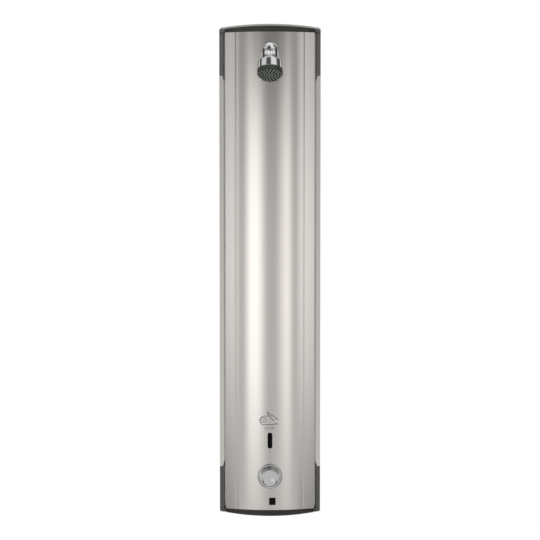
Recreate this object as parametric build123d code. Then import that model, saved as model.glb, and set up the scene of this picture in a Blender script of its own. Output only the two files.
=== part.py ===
from build123d import *
import math
import os

# Wall-mounted touch-free shower panel, in millimetres.
# The wall is the plane y = 0, the panel's front faces -Y, and +X is to the right seen from the front.
# The origin is the centre of the four wall-fixing holes, on the wall, at mid-height.

# Driving sizes: the pipe spacing sets the width, and the two ends set the heights
inlet_spacing = 150.0
side_margin = 41.0
panel_width = inlet_spacing + 2 * side_margin
section_top = 546.0
section_bottom = -550.5
body_depth = 80.0
rail_depth = 56.0

# Chassis extrusion
chassis_wall = 2.5
rail_face_width = 10.0
shelf_depth = 39.0
hook_reach = 26.0
hook_height = 8.0
tongue_reach = 7.5
tongue_wall = 2.0
port_radius = 4.5
port_bore = 1.7
port_inset = 15.0
web_clearance = 1.0

# Front cover extrusion
cover_wall = 2.2
cover_margin = 13.75
cover_width = panel_width - 2 * cover_margin
wing_width = 25.45
crease_width = cover_width - 2 * wing_width
crown_height = 12.0
groove_width = 2.4
groove_depth = 1.0
wing_drop = 8.5
lip_flange = 7.0
slide_clearance = 0.5

# End caps
cap_wall = 2.5
cap_proud = 0.8
top_cap_side_height = 11.0
bottom_cap_side_height = 7.5
cap_crown = 6.5
leg_length = 98.0
leg_tip = 12.0
leg_step_width = 2.4
leg_root_depth = 12.0
end_gap = 0.3
top_cap_bevel = 4.5
bottom_cap_bevel = 3.0

# Fits shared by the pieces
seat_gap = 0.1
running_gap = 0.08
loose_gap = 0.3

# Wall fixing
fixing_spacing_x = inlet_spacing
fixing_spacing_z = 620.0
fixing_hole_radius = 3.5

# Water line
pipe_plane = -30.0
pipe_radius = 7.5
pipe_wall = 1.0
water_bore = 6.0

# Mixing valve
knob_rise = 79.0
knob_height = section_bottom + knob_rise
mixer_radius = 17.0
union_room = 29.0
mixer_half_length = inlet_spacing / 2 - union_room
mixer_thread_radius = 13.0
mixer_thread_length = 8.0
chamber_radius = 21.0
chamber_front = -62.0
chamber_back = -11.0
cartridge_bore = 16.0
cartridge_floor = -16.0
sleeve_wall = 4.0
check_bore = 8.0
check_length = 14.0

# Inlet stops
stop_radius = 13.0
stop_front = -50.0
stop_flange_radius = 18.5
stop_flange_thickness = 3.0
flange_screw_radius = 1.6
flange_screw_head = 2.6
inlet_thread_radius = 9.3
inlet_thread_length = 12.0
strainer_length = 8.0
plug_radius = 8.0
branch_radius = 9.5
branch_collar_radius = 12.0
branch_collar_width = 2.5
union_nut_radius = 17.0
washer_thickness = 0.8

# Temperature knob
spindle_radius = 5.0
knob_face_radius = 21.0
knob_base_radius = 24.0
knob_length = 27.0
knob_wall = 2.5
knob_hole_radius = 13.0
scale_ring_radius = 28.4
scale_ring_height = 5.0
piston_travel = 1.2

# Solenoid valve
outlet_rise = 32.0
outlet_radius = 12.0
solenoid_radius = 19.0
solenoid_block_height = 22.0
solenoid_tail = 16.0
diaphragm_thickness = 2.0
bonnet_height = 8.0
armature_radius = 5.0
armature_bore = 4.0
plunger_length = 24.0
plunger_travel = 2.5
spring_room = 7.5
armature_length = plunger_length + plunger_travel + spring_room
coil_size = 30.0
coil_height = 26.0
spring_wire = 0.35
spring_turns = 7

# Riser
riser_offset = 44.0
riser_bend = 60.0
clip_width = 14.0
clip_wall = 2.4
clip_heights = (-250.0, 0.0, 250.0)

# Shower head
elbow_drop = 47.0
elbow_height = section_top - elbow_drop
riser_jog_drop = 63.0
riser_jog_length = 64.0
riser_jog_top = elbow_height - riser_jog_drop
riser_jog_bottom = riser_jog_top - riser_jog_length
elbow_radius = 20.0
arm_radius = 13.5
arm_flange_thickness = 4.0
elbow_rim_drop = 14.5
elbow_rim_height = elbow_height - elbow_rim_drop
elbow_tail_radius = 12.5
elbow_bore = 8.0
bracket_face = -62.5
bracket_sheet = 3.0
bracket_half_width = 30.0
spigot_radius = 12.0
spigot_length = 28.0
head_tilt = 23.0
neck_radius = 21.5
bell_radius = 29.0
bell_clearance = 3.0
elbow_reach = body_depth + bell_radius + bell_clearance
bell_length = 21.5
bell_shoulder = 4.0
bell_wall = 3.0
chamber_height = 4.5
plate_skirt = 11.0
plate_thickness = 3.0
nozzle_height = 2.6
nozzle_base_radius = 2.4
nozzle_tip_radius = 1.7
nozzle_bore = 0.6
nozzle_radii = (0.0, 6.5, 13.0, 19.3, 25.6)
nozzle_counts = (1, 6, 11, 16, 21)

# Sensor
sensor_rise = 82.5
sensor_height = knob_height + sensor_rise
window_width = 11.0
window_length = 37.0
window_rim = 2.0
window_proud = 0.5
sensor_box_width = 28.0
sensor_box_length = 52.0
sensor_box_depth = 20.0
sensor_box_wall = 1.6

# Battery box
battery_box_left = -74.0
battery_box_width = 60.0
battery_rise = 89.0
battery_box_bottom = sensor_height + battery_rise
battery_box_length = 80.0
battery_box_depth = 32.0
battery_box_wall = 2.0
battery_lid_thickness = 3.0
content_gap = 4.0
board_length = 28.0
board_thickness = 1.6
board_width = battery_box_width - 2 * (battery_box_wall + content_gap)
chip_height = 3.0
relay_height = 6.4
battery_width = 36.0
battery_depth = 19.5
battery_length = battery_box_length - 2 * battery_box_wall - 3 * content_gap - board_length
cable_radius = 1.8
cable_bend = 12.0
cable_lead = 22.0

# Small plate low on the cover
plate_x = 5.5
plate_rise = 20.5
plate_z = section_bottom + plate_rise
plate_width = 15.0
plate_length = 17.0
plate_height = 0.7

half_width = panel_width / 2
half_cover = cover_width / 2
half_crease = crease_width / 2
crease_depth = body_depth - crown_height
wing_edge_depth = crease_depth - wing_drop
rail_inner = half_width - rail_face_width
web_x = inlet_spacing / 2 + stop_flange_radius + web_clearance + chassis_wall
shelf_front = -(shelf_depth + chassis_wall)
inlet_x = inlet_spacing / 2
elbow_axis_y = -elbow_reach


def bar_x(radius, y, z, x_from, x_to):
    """Round bar along X between two x values."""
    middle = (x_from + x_to) / 2
    return Pos(middle, y, z) * Rot(0, 90, 0) * Cylinder(radius, abs(x_to - x_from))


def bar_y(radius, x, z, y_from, y_to):
    """Round bar along Y between two y values."""
    middle = (y_from + y_to) / 2
    return Pos(x, middle, z) * Rot(90, 0, 0) * Cylinder(radius, abs(y_to - y_from))


def bar_z(radius, x, y, z_from, z_to):
    """Round bar along Z between two z values."""
    middle = (z_from + z_to) / 2
    return Pos(x, y, middle) * Cylinder(radius, abs(z_to - z_from))


def block(x_from, x_to, y_from, y_to, z_from, z_to):
    """Plain block between two corners."""
    place = Pos((x_from + x_to) / 2, (y_from + y_to) / 2, (z_from + z_to) / 2)
    return place * Box(abs(x_to - x_from), abs(y_to - y_from), abs(z_to - z_from))


def hexagon(radius, height):
    """Hexagonal prism of a corner radius, centred on the origin, along Z."""
    return Pos(0, 0, -height / 2) * extrude(RegularPolygon(radius, 6), height)


def hex_x(radius, y, z, x_from, x_to):
    """Hexagonal bar along X."""
    return Pos((x_from + x_to) / 2, y, z) * Rot(0, 90, 0) * hexagon(radius, abs(x_to - x_from))


def hex_y(radius, x, z, y_from, y_to):
    """Hexagonal bar along Y."""
    return Pos(x, (y_from + y_to) / 2, z) * Rot(90, 0, 0) * hexagon(radius, abs(y_to - y_from))


def hex_z(radius, x, y, z_from, z_to):
    """Hexagonal bar along Z."""
    return Pos(x, y, (z_from + z_to) / 2) * hexagon(radius, abs(z_to - z_from))


def plan(face, z_from, z_to):
    """A face drawn in the XY plane, drawn out between two heights."""
    return extrude(Pos(0, 0, z_from) * face, z_to - z_from)


def rectangle(x_from, x_to, y_from, y_to):
    """Rectangle in the XY plane between two corners."""
    return Pos((x_from + x_to) / 2, (y_from + y_to) / 2) * Rectangle(abs(x_to - x_from), abs(y_to - y_from))


def both_sides(face):
    """A face and its mirror image across the middle plane."""
    return face + mirror(face, Plane.YZ)


def front_outline(offset, back):
    """Filled outline of the cover's front, closed at a back line, grown outwards by an offset."""
    crown = Vector(0, -body_depth - offset)
    crease = Vector(half_crease, -crease_depth - offset)
    edge = Vector(half_cover + offset, -wing_edge_depth - offset)
    foot = Vector(half_cover + offset, back)
    left = [Vector(-p.X, p.Y) for p in (crease, edge, foot)]
    lines = ThreePointArc(left[0], crown, crease) + Polyline(crease, edge, foot, left[2], left[1], left[0])
    return make_face(lines.edges())


def front_body(offset):
    """The space behind the cover's outer skin, used to shape what sits on the cover."""
    return plan(front_outline(offset, 0), section_bottom, section_top)


def rail_section(inner):
    """The side rail's outer wall, face and return. The return ends at the depth given as inner."""
    wall = rectangle(half_width - chassis_wall, half_width, -rail_depth, -leg_root_depth)
    face = rectangle(rail_inner, half_width, -rail_depth, -rail_depth + chassis_wall)
    turned = rectangle(rail_inner, rail_inner + chassis_wall, -rail_depth, inner)
    return wall + face + turned


def chassis_section():
    """Half section of the chassis extrusion, without its back plate."""
    root = rectangle(half_width - chassis_wall, half_width, -leg_root_depth, 0)
    web = rectangle(web_x - chassis_wall, web_x, -shelf_depth, -chassis_wall)
    hook_x = half_width - hook_reach
    shelf = rectangle(hook_x, rail_inner + chassis_wall, shelf_front, -shelf_depth)
    hook = rectangle(hook_x, hook_x + chassis_wall, shelf_front - hook_height, shelf_front)
    tongue_front = shelf_front - hook_height
    tongue = rectangle(hook_x, hook_x + tongue_reach, tongue_front, tongue_front + tongue_wall)
    half = rail_section(-shelf_depth) + root + web + shelf + hook + tongue
    for depth in port_depths():
        half += Pos(port_x(), depth) * Circle(port_radius)
    for depth in port_depths():
        half -= Pos(port_x(), depth) * Circle(port_bore)
    return half


def port_x():
    """Sideways place of the screw ports."""
    return half_width - port_inset


def port_depths():
    """Depths of the two screw ports, one on the back plate and one under the shelf."""
    return (-chassis_wall - port_radius + 0.5, -shelf_depth + port_radius - 0.5)


def leg_outline(grow):
    """Front outline of one right-hand leg at the top, in x and z, grown by a clearance."""
    start = section_top - leg_length - grow
    inner = rail_inner - 1
    points = [
        (half_width + 1, start),
        (rail_inner + leg_step_width + grow, start),
        (rail_inner + leg_step_width / 2 + grow, start - leg_tip / 2),
        (inner, start - leg_tip),
        (inner, section_top + 1),
        (half_width + 1, section_top + 1),
    ]
    return points


def leg_block(grow, top):
    """The space of one leg pair, mirrored down for the bottom cap."""
    shape = make_face(Polyline(*leg_outline(grow), close=True).edges())
    depth = rail_depth + 2
    solid = extrude(Plane.XZ * shape, depth)
    low, high = section_bottom - leg_length, section_top + leg_length
    back = block(0, half_width + 2, -leg_root_depth + grow, 5, low, high)
    solid = solid - back
    solid = solid + mirror(solid, Plane.YZ)
    if not top:
        solid = Pos(0, 0, section_top + section_bottom) * mirror(solid, Plane.XY)
    return solid


def make_back_chassis():
    """Aluminium back extrusion: back plate, side rails, cover grooves and screw ports."""
    half = chassis_section()
    section = both_sides(half) + rectangle(-half_width, half_width, -chassis_wall, 0)
    chassis = plan(section, section_bottom, section_top)
    for top in (True, False):
        chassis -= leg_block(loose_gap, top)
    for x in (-fixing_spacing_x / 2, fixing_spacing_x / 2):
        for z in (-fixing_spacing_z / 2, fixing_spacing_z / 2):
            chassis -= bar_y(fixing_hole_radius, x, z, 1, -chassis_wall - 1)
    for x in (-inlet_x, inlet_x):
        chassis -= bar_y(stop_radius + loose_gap, x, knob_height, 1, -chassis_wall - 1)
        for z in flange_screw_heights():
            chassis -= bar_y(flange_screw_radius + seat_gap, x, z, 1, -chassis_wall - 1)
    return chassis


def cover_section():
    """Section of the cover extrusion: crowned middle, creases, wings, lips and sliding flanges."""
    back = shelf_front - slide_clearance
    outer = front_outline(0, back)
    inner = front_outline(-cover_wall, back + 1)
    skin = outer - inner
    groove = Pos(half_crease + groove_width / 2, -crease_depth) * Rectangle(groove_width, 2 * groove_depth)
    skin -= both_sides(groove)
    flange = rectangle(half_cover - lip_flange, half_cover - cover_wall / 2, back - cover_wall, back)
    return skin + both_sides(flange)


def make_front_cover():
    """Aluminium front extrusion with its holes for head, sensor window and knob."""
    cover = plan(cover_section(), section_bottom + end_gap, section_top - end_gap)
    cover -= bar_y(elbow_tail_radius + loose_gap, 0, elbow_height, -40, -body_depth - 5)
    cover -= bar_y(knob_hole_radius, 0, knob_height, -40, -body_depth - 5)
    cover -= slot_y(window_width + 2 * seat_gap, window_length + 2 * seat_gap, -40, -body_depth - 5)
    return cover


def slot_y(width, length, y_from, y_to):
    """Upright round-ended bar along Y at the sensor's height."""
    end = (length - width) / 2
    low, high = sensor_height - end, sensor_height + end
    bar = block(-width / 2, width / 2, y_from, y_to, low, high)
    return bar + bar_y(width / 2, 0, low, y_from, y_to) + bar_y(width / 2, 0, high, y_from, y_to)


def cap_outline(shrink):
    """Plan outline of an end cap, drawn in by a wall."""
    corner = rectangle(-half_width + shrink, half_width - shrink, -rail_depth - cap_proud + shrink, -shrink)
    return corner + front_outline(cap_proud - shrink, -shrink)


def crown_cut(seam, side_height):
    """Everything under a cap's crowned top, seen from the front."""
    corner = seam + side_height
    reach = half_width + 4
    arc = ThreePointArc((-reach, corner), (0, corner + cap_crown), (reach, corner))
    base = Polyline((reach, corner), (reach, seam - 5), (-reach, seam - 5), (-reach, corner))
    return Pos(0, 5, 0) * extrude(Plane.XZ * make_face((arc + base).edges()), body_depth + 10)


def make_cap(seam, side_height, top):
    """Moulded end cap with a crowned top, screw bosses and a leg along each side rail."""
    above = seam + side_height + cap_crown + 2
    body = plan(cap_outline(0), seam, above)
    body &= crown_cut(seam, side_height)
    rim = [e for e in body.edges() if e.center().Z > seam + side_height / 2 + 1 and e.center().Y < -1]
    rim = [e for e in rim if abs(e.tangent_at(0.5).Z) < 0.7]
    body = chamfer(rim, top_cap_bevel if top else bottom_cap_bevel)
    roof = side_height - cap_wall
    pocket = plan(cap_outline(cap_wall + cap_proud), seam - 1, seam + roof)
    for x in (-port_x(), port_x()):
        for depth in port_depths():
            pocket -= bar_z(port_radius, x, depth, seam - 2, seam + roof + 2)
    body -= pocket
    for x in (-port_x(), port_x()):
        for depth in port_depths():
            body -= bar_z(screw_shank_radius() + loose_gap, x, depth, seam - 1, above)
            body -= bar_z(screw_head_radius() + loose_gap, x, depth, seam + side_height - 3, above)
    legs = plan(both_sides(rail_section(-shelf_depth - chassis_wall)), section_bottom, section_top)
    legs &= leg_block(0, True)
    shift = seam - section_top
    body += Pos(0, 0, shift) * legs
    if not top:
        body = mirror(body, Plane.XY)
    return body


def screw_shank_radius():
    """Shank radius of the cap screws, sized to bite in the ports."""
    return port_bore - 0.05


def screw_head_radius():
    """Head radius of the cap screws."""
    return port_bore * 1.9


def make_cap_screws(seam, side_height, top):
    """Four screws that hold a cap to the ports of the chassis."""
    screws = []
    head_low = seam + side_height - 3
    for x in (-port_x(), port_x()):
        for depth in port_depths():
            screw = bar_z(screw_head_radius(), x, depth, head_low, head_low + 2.4)
            screw += bar_z(screw_shank_radius(), x, depth, seam - 14, head_low)
            screw -= hex_z(port_bore * 0.9, x, depth, head_low + 1, head_low + 3)
            screws.append(screw if top else mirror(screw, Plane.XY))
    return screws


def make_stop_body(side):
    """Brass inlet stop: wall socket, flange, plug bore and a branch towards the mixer."""
    x = side * inlet_x
    flange_front = -chassis_wall - stop_flange_thickness
    body = bar_y(stop_radius, x, knob_height, 0, stop_front)
    body += bar_y(stop_flange_radius, x, knob_height, -chassis_wall, flange_front)
    tail = side * branch_end()
    body += bar_x(branch_radius, pipe_plane, knob_height, x, tail)
    body += bar_x(branch_collar_radius, pipe_plane, knob_height, tail + side * branch_collar_width, tail)
    body -= bar_y(inlet_thread_radius, x, knob_height, 1, -inlet_thread_length)
    body -= bar_y(check_bore, x, knob_height, 0, plug_back())
    body -= bar_y(plug_radius + running_gap, x, knob_height, plug_back(), stop_front - 1)
    body -= bar_x(water_bore, pipe_plane, knob_height, x, tail - side)
    for z in flange_screw_heights():
        body -= bar_y(flange_screw_radius + seat_gap, x, z, 0, flange_front - 1)
    return body


def plug_back():
    """Depth of the plug's inner end."""
    return -inlet_thread_length - strainer_length


def branch_end():
    """Distance from the middle to the branch's end face, past the washer on the mixer's end."""
    return mixer_half_length + mixer_thread_length + washer_thickness


def flange_screw_heights():
    """Heights of the two flange screws above and below a stop."""
    reach = (stop_radius + stop_flange_radius) / 2
    return (knob_height - reach, knob_height + reach)


def make_stop_plug(side):
    """Quarter-turn plug with an angled waterway and a screwdriver slot."""
    x = side * inlet_x
    front = stop_front - 3
    plug = bar_y(plug_radius, x, knob_height, plug_back() - loose_gap, front)
    plug -= bar_y(water_bore - 1, x, knob_height, plug_back(), pipe_plane)
    plug -= bar_x(water_bore - 1, pipe_plane, knob_height, x, x - side * (plug_radius + 1))
    slot_low, slot_high = knob_height - 0.8, knob_height + 0.8
    plug -= block(x - plug_radius, x + plug_radius, front - 1, front + 2, slot_low, slot_high)
    return plug


def make_strainer(side):
    """Cup-shaped inlet strainer with a holed end."""
    x = side * inlet_x
    mouth = -inlet_thread_length
    cup = bar_y(check_bore - seat_gap, x, knob_height, mouth, mouth - strainer_length + 1)
    cup -= bar_y(check_bore - seat_gap - 0.8, x, knob_height, mouth + 1, mouth - strainer_length + 1.8)
    for turn in range(6):
        angle = math.radians(60 * turn)
        hole_x = x + 4.5 * math.cos(angle)
        hole_z = knob_height + 4.5 * math.sin(angle)
        cup -= bar_y(1.1, hole_x, hole_z, mouth - 1, mouth - strainer_length)
    return cup


def make_check_valve(side):
    """Sealed backflow cartridge in the mixer's end."""
    outer = side * (mixer_half_length + mixer_thread_length - 1)
    inner = outer - side * check_length
    valve = bar_x(check_bore - seat_gap, pipe_plane, knob_height, inner, outer)
    valve -= bar_x(3.2, pipe_plane, knob_height, inner, inner + side * 5)
    valve -= bar_x(4.5, pipe_plane, knob_height, outer, outer - side * 4)
    return valve


def make_flange_screws():
    """Screws that hold both inlet stops to the back plate."""
    screws = []
    for side in (-1, 1):
        for z in flange_screw_heights():
            x = side * inlet_x
            seat = -chassis_wall - stop_flange_thickness
            head = bar_y(flange_screw_head, x, z, seat, seat - 2)
            screws.append(head + bar_y(flange_screw_radius, x, z, 0, seat))
    return screws


def make_inlet_nuts():
    """Union nuts that draw the stops' branches onto the mixer's ends."""
    nuts = []
    for side in (-1, 1):
        start = side * (mixer_half_length + 1)
        collar = side * (branch_end() + branch_collar_width + seat_gap)
        end = collar + side * 3
        nut = hex_x(union_nut_radius, pipe_plane, knob_height, start, end)
        nut -= bar_x(mixer_thread_radius + seat_gap, pipe_plane, knob_height, start - side, collar)
        nut -= bar_x(branch_radius + seat_gap, pipe_plane, knob_height, collar, end + side)
        nuts.append(nut)
    return nuts


def make_inlet_washers():
    """Fibre washers between the mixer's ends and the branches."""
    washers = []
    for side in (-1, 1):
        low = side * (mixer_half_length + mixer_thread_length)
        high = side * branch_end()
        ring = bar_x(branch_collar_radius, pipe_plane, knob_height, low, high)
        washers.append(ring - bar_x(check_bore, pipe_plane, knob_height, low - side, high + side))
    return washers


def make_mixer_body():
    """Brass mixing valve body: cross tube, cartridge chamber and top outlet."""
    end = mixer_half_length + mixer_thread_length
    top = knob_height + outlet_rise
    body = bar_x(mixer_radius, pipe_plane, knob_height, -mixer_half_length, mixer_half_length)
    body += bar_x(mixer_thread_radius, pipe_plane, knob_height, -end, end)
    body += bar_y(chamber_radius, 0, knob_height, chamber_back, chamber_front)
    body += bar_z(outlet_radius, 0, pipe_plane, knob_height, top)
    body -= bar_y(cartridge_bore, 0, knob_height, cartridge_floor, chamber_front - 1)
    body -= bar_z(water_bore, 0, pipe_plane, knob_height, top + 1)
    for side in (-1, 1):
        seat = side * (end - 1 - check_length)
        body -= bar_x(check_bore, pipe_plane, knob_height, side * (end + 1), seat)
        body -= bar_x(water_bore, pipe_plane, knob_height, seat, 0)
    return body


def make_cartridge_sleeve():
    """Ported sleeve of the thermostatic cartridge."""
    inner = cartridge_bore - sleeve_wall
    sleeve = bar_y(cartridge_bore - seat_gap, 0, knob_height, cartridge_floor, chamber_front)
    sleeve -= bar_y(inner, 0, knob_height, cartridge_floor + 1, chamber_front - 1)
    sleeve -= bar_x(water_bore - 1, pipe_plane, knob_height, -cartridge_bore, cartridge_bore)
    sleeve -= bar_z(water_bore - 1, 0, pipe_plane, knob_height, knob_height + cartridge_bore)
    return sleeve


def piston_front():
    """Front face of the piston at rest."""
    return pipe_plane - 9


def make_temperature_piston():
    """Sliding piston that shares the flow between hot and cold."""
    radius = cartridge_bore - sleeve_wall - running_gap
    piston = bar_y(radius, 0, knob_height, pipe_plane - 1, piston_front())
    piston -= bar_y(element_radius() + seat_gap, 0, knob_height, pipe_plane, piston_front() - 1)
    for turn in range(6):
        angle = math.radians(60 * turn + 30)
        reach = (element_radius() + radius) / 2
        x = reach * math.cos(angle)
        z = knob_height + reach * math.sin(angle)
        piston -= bar_y(1.2, x, z, pipe_plane, piston_front() - 1)
    return piston


def element_radius():
    """Radius of the wax element."""
    return 5.5


def make_wax_element():
    """Wax element that pushes the piston as the mixed water warms."""
    back = cartridge_floor - 6
    front = piston_front() - 4
    element = bar_y(element_radius(), 0, knob_height, back, piston_front())
    element += bar_y(element_radius() + 1.5, 0, knob_height, piston_front(), piston_front() - 1.5)
    element += bar_y(2.0, 0, knob_height, piston_front() - 1.5, front)
    return element


def spindle_back():
    """Inner end of the spindle, clear of the piston's travel."""
    return piston_front() - 4 - piston_travel - loose_gap


def make_return_spring():
    """Return spring behind the piston, seated on the cartridge floor."""
    back = cartridge_floor - 0.1
    front = pipe_plane - 1 + piston_travel + loose_gap
    turns = 4
    height = abs(front - back) - 2 * 0.6
    coil_path = Helix(height / turns, height, element_radius() + 3)
    start = coil_path @ 0
    wire = sweep(Plane(origin=start, z_dir=coil_path % 0) * Circle(0.6), path=coil_path)
    return Pos(0, back - 0.6, knob_height) * Rot(90, 0, 0) * wire


def make_head_nut():
    """Cartridge head nut, bored for the spindle."""
    front = chamber_front - 7
    nut = hex_y(chamber_radius, 0, knob_height, chamber_front, front)
    nut += bar_y(cartridge_bore - sleeve_wall - seat_gap, 0, knob_height, chamber_front, chamber_front + 9)
    nut -= bar_y(spindle_radius + running_gap, 0, knob_height, chamber_front + 10, front - 1)
    nut -= bar_y(spindle_radius + 1.8, 0, knob_height, front, front + 3)
    return nut


def make_spindle_seal():
    """Rubber ring round the spindle in the head nut."""
    front = chamber_front - 7
    ring = bar_y(spindle_radius + 1.8 - seat_gap, 0, knob_height, front + 3, front + 0.4)
    return ring - bar_y(spindle_radius + running_gap, 0, knob_height, front + 4, front - 1)


def knob_back():
    """Back edge of the turning knob, just clear of the scale ring."""
    return -body_depth - scale_ring_height - 0.5


def knob_front():
    """Front face of the knob."""
    return knob_back() - knob_length


def make_temperature_spindle():
    """Turning spindle from the cartridge into the knob."""
    front = knob_front() + knob_wall + 6
    spindle = bar_y(spindle_radius, 0, knob_height, spindle_back(), front)
    spindle += bar_y(spindle_radius + 2, 0, knob_height, chamber_front + 10, chamber_front + 12.5)
    spindle -= bar_y(2.0, 0, knob_height, front - 1, front + 12)
    return spindle


def make_temperature_knob():
    """Chromed knob: tapered shell, domed face and an inner hub on the spindle."""
    back = knob_back()
    front = knob_front()
    shell = Pos(0, (back + front) / 2, knob_height) * Rot(90, 0, 0) * Cone(
        knob_base_radius, knob_face_radius, knob_length
    )
    shell = fillet(shell.edges().group_by(Axis.Y)[0], 2.0)
    hollow = Pos(0, (back + front + knob_wall) / 2, knob_height) * Rot(90, 0, 0) * Cone(
        knob_base_radius - knob_wall, knob_face_radius - knob_wall, knob_length - knob_wall
    )
    hub_back = back - 3
    hollow -= bar_y(spindle_radius + 3.5, 0, knob_height, hub_back, front - 1)
    shell -= hollow
    shell -= bar_y(spindle_radius + seat_gap, 0, knob_height, back + 1, front + knob_wall + 5.9)
    shell -= bar_y(2.3, 0, knob_height, back, front + knob_wall + 2)
    shell -= bar_y(4.0, 0, knob_height, front - 1, front + knob_wall + 3)
    return shell


def make_knob_screw():
    """Screw that pulls the knob onto the spindle."""
    head = knob_front() + knob_wall + 3
    screw = bar_y(3.8, 0, knob_height, head, head - 2.4)
    screw += bar_y(1.9, 0, knob_height, head, head + 12)
    screw -= hex_y(1.7, 0, knob_height, head - 3, head - 1)
    return screw


def make_knob_cap():
    """Chromed plug over the knob screw, flush with the face."""
    return bar_y(3.9, 0, knob_height, knob_front(), knob_front() + 2.6)


def make_scale_ring():
    """Fixed ring between cover and knob that carries the temperature scale."""
    back = -body_depth
    front = back - scale_ring_height
    ring = bar_y(scale_ring_radius, 0, knob_height, back + 3, front)
    ring = chamfer(ring.edges().group_by(Axis.Y)[0], 1.6)
    ring -= bar_y(knob_hole_radius - 3, 0, knob_height, back + 6, front - 1)
    return ring - front_body(0.05)


def make_outlet_nut():
    """Union nut between the mixer's outlet and the solenoid valve."""
    start = knob_height + outlet_rise - 8
    collar = solenoid_bottom() + 3 + seat_gap
    nut = hex_z(union_nut_radius - 1, 0, pipe_plane, start, collar + 3)
    nut -= bar_z(outlet_radius + seat_gap, 0, pipe_plane, start - 1, collar)
    nut -= bar_z(outlet_radius - 2.5 + seat_gap, 0, pipe_plane, collar, collar + 4)
    return nut


def solenoid_bottom():
    """Lower end of the solenoid valve's tail, past its washer."""
    return knob_height + outlet_rise + washer_thickness


def block_bottom():
    """Lower face of the solenoid valve's round block."""
    return solenoid_bottom() + solenoid_tail


def block_top():
    """Upper face of the solenoid valve's round block."""
    return block_bottom() + solenoid_block_height


def outlet_axis():
    """Height of the solenoid valve's side outlet."""
    return block_bottom() + 11


def make_outlet_washer():
    """Fibre washer under the solenoid valve's tail."""
    low = knob_height + outlet_rise
    ring = bar_z(outlet_radius - 0.5, 0, pipe_plane, low, solenoid_bottom())
    return ring - bar_z(water_bore, 0, pipe_plane, low - 1, solenoid_bottom() + 1)


def make_solenoid_body():
    """Valve block with an upright seat, a ring chamber and a side outlet."""
    low = solenoid_bottom()
    seat = block_top() - 5
    body = bar_z(solenoid_radius, 0, pipe_plane, block_bottom(), block_top())
    body += bar_z(outlet_radius - 2.5, 0, pipe_plane, low, block_bottom())
    body += bar_z(outlet_radius - 0.5, 0, pipe_plane, low, low + 3)
    body += bar_x(outlet_radius - 3, pipe_plane, outlet_axis(), 0, riser_offset - 10)
    chamber = bar_z(solenoid_radius - 4, 0, pipe_plane, outlet_axis() - 5, seat)
    chamber -= bar_z(water_bore + 2, 0, pipe_plane, outlet_axis() - 6, seat + 1)
    body -= chamber
    body -= bar_z(solenoid_radius - 2, 0, pipe_plane, seat, block_top() + 1)
    body -= bar_z(water_bore - 1, 0, pipe_plane, low - 1, block_top())
    body -= bar_x(water_bore - 1, pipe_plane, outlet_axis(), solenoid_radius - 7, riser_offset)
    return body


def make_diaphragm():
    """Rubber diaphragm over the valve seat."""
    low = block_top() - 5 + seat_gap
    disc = bar_z(solenoid_radius - 2 - seat_gap, 0, pipe_plane, low, low + diaphragm_thickness)
    return disc - bar_z(0.8, 0, pipe_plane, low - 1, low + diaphragm_thickness + 1)


def make_bonnet():
    """Bonnet with the armature tube standing on it."""
    low = block_top() - 5 + seat_gap + diaphragm_thickness
    lid_top = block_top() + bonnet_height
    bonnet = bar_z(solenoid_radius - 2 - seat_gap, 0, pipe_plane, low, block_top())
    bonnet += bar_z(solenoid_radius, 0, pipe_plane, block_top(), lid_top)
    bonnet += bar_z(armature_radius, 0, pipe_plane, lid_top, lid_top + armature_length)
    bonnet -= bar_z(armature_bore + running_gap, 0, pipe_plane, low - 1, lid_top + armature_length - 2)
    for x, y in bonnet_screw_places():
        bonnet -= bar_z(1.6, x, y, low - 1, lid_top + 1)
    return bonnet


def bonnet_screw_places():
    """Places of the bonnet's four screws."""
    reach = (solenoid_radius - 5.5) * math.sqrt(0.5)
    return [(x, pipe_plane + y) for x in (-reach, reach) for y in (-reach, reach)]


def make_bonnet_screws():
    """Four screws that hold the bonnet."""
    top = block_top() + bonnet_height
    screws = []
    for x, y in bonnet_screw_places():
        screws.append(bar_z(2.7, x, y, top, top + 2) + bar_z(1.5, x, y, block_top() - 1, top))
    return screws


def coil_bottom():
    """Lower face of the coil, above the bonnet's screw heads."""
    return block_top() + bonnet_height + 2.2


def make_solenoid_coil():
    """Moulded coil on the armature tube, with a terminal boss."""
    half = coil_size / 2
    low = coil_bottom()
    coil = block(-half, half, pipe_plane - half, pipe_plane + half, low, low + coil_height)
    coil = fillet(coil.edges().filter_by(Axis.Z), 4)
    coil += block(-half - 5, -half, pipe_plane - 6, pipe_plane + 6, low + 8, low + coil_height - 4)
    return coil - bar_z(armature_radius + seat_gap, 0, pipe_plane, low - 1, low + coil_height + 1)


def make_coil_nut():
    """Nut that clamps the coil on the armature tube."""
    low = coil_bottom() + coil_height
    top = block_top() + bonnet_height + armature_length
    nut = hex_z(armature_radius + 4, 0, pipe_plane, low, top)
    return nut - bar_z(armature_radius + seat_gap, 0, pipe_plane, low - 1, top + 1)


def plunger_bottom():
    """Lower face of the plunger at rest on the diaphragm."""
    return block_top() - 5 + 2 * seat_gap + diaphragm_thickness


def make_plunger():
    """Steel plunger that opens the pilot hole."""
    low = plunger_bottom()
    plunger = bar_z(armature_bore, 0, pipe_plane, low, low + plunger_length)
    return plunger - bar_z(2.5, 0, pipe_plane, low + plunger_length - 6, low + plunger_length + 1)


def spring_top():
    """Upper end of the plunger spring, under the tube's closed end."""
    return block_top() + bonnet_height + armature_length - 2 - seat_gap


def make_plunger_spring():
    """Spring that closes the plunger."""
    low = plunger_bottom() + plunger_length + seat_gap
    height = spring_top() - low - 2 * spring_wire
    helix = Helix(height / spring_turns, height, armature_bore - 2 * spring_wire - 0.2)
    wire = sweep(Plane(origin=helix @ 0, z_dir=helix % 0) * Circle(spring_wire), path=helix)
    return Pos(0, pipe_plane, low + spring_wire) * wire


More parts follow.
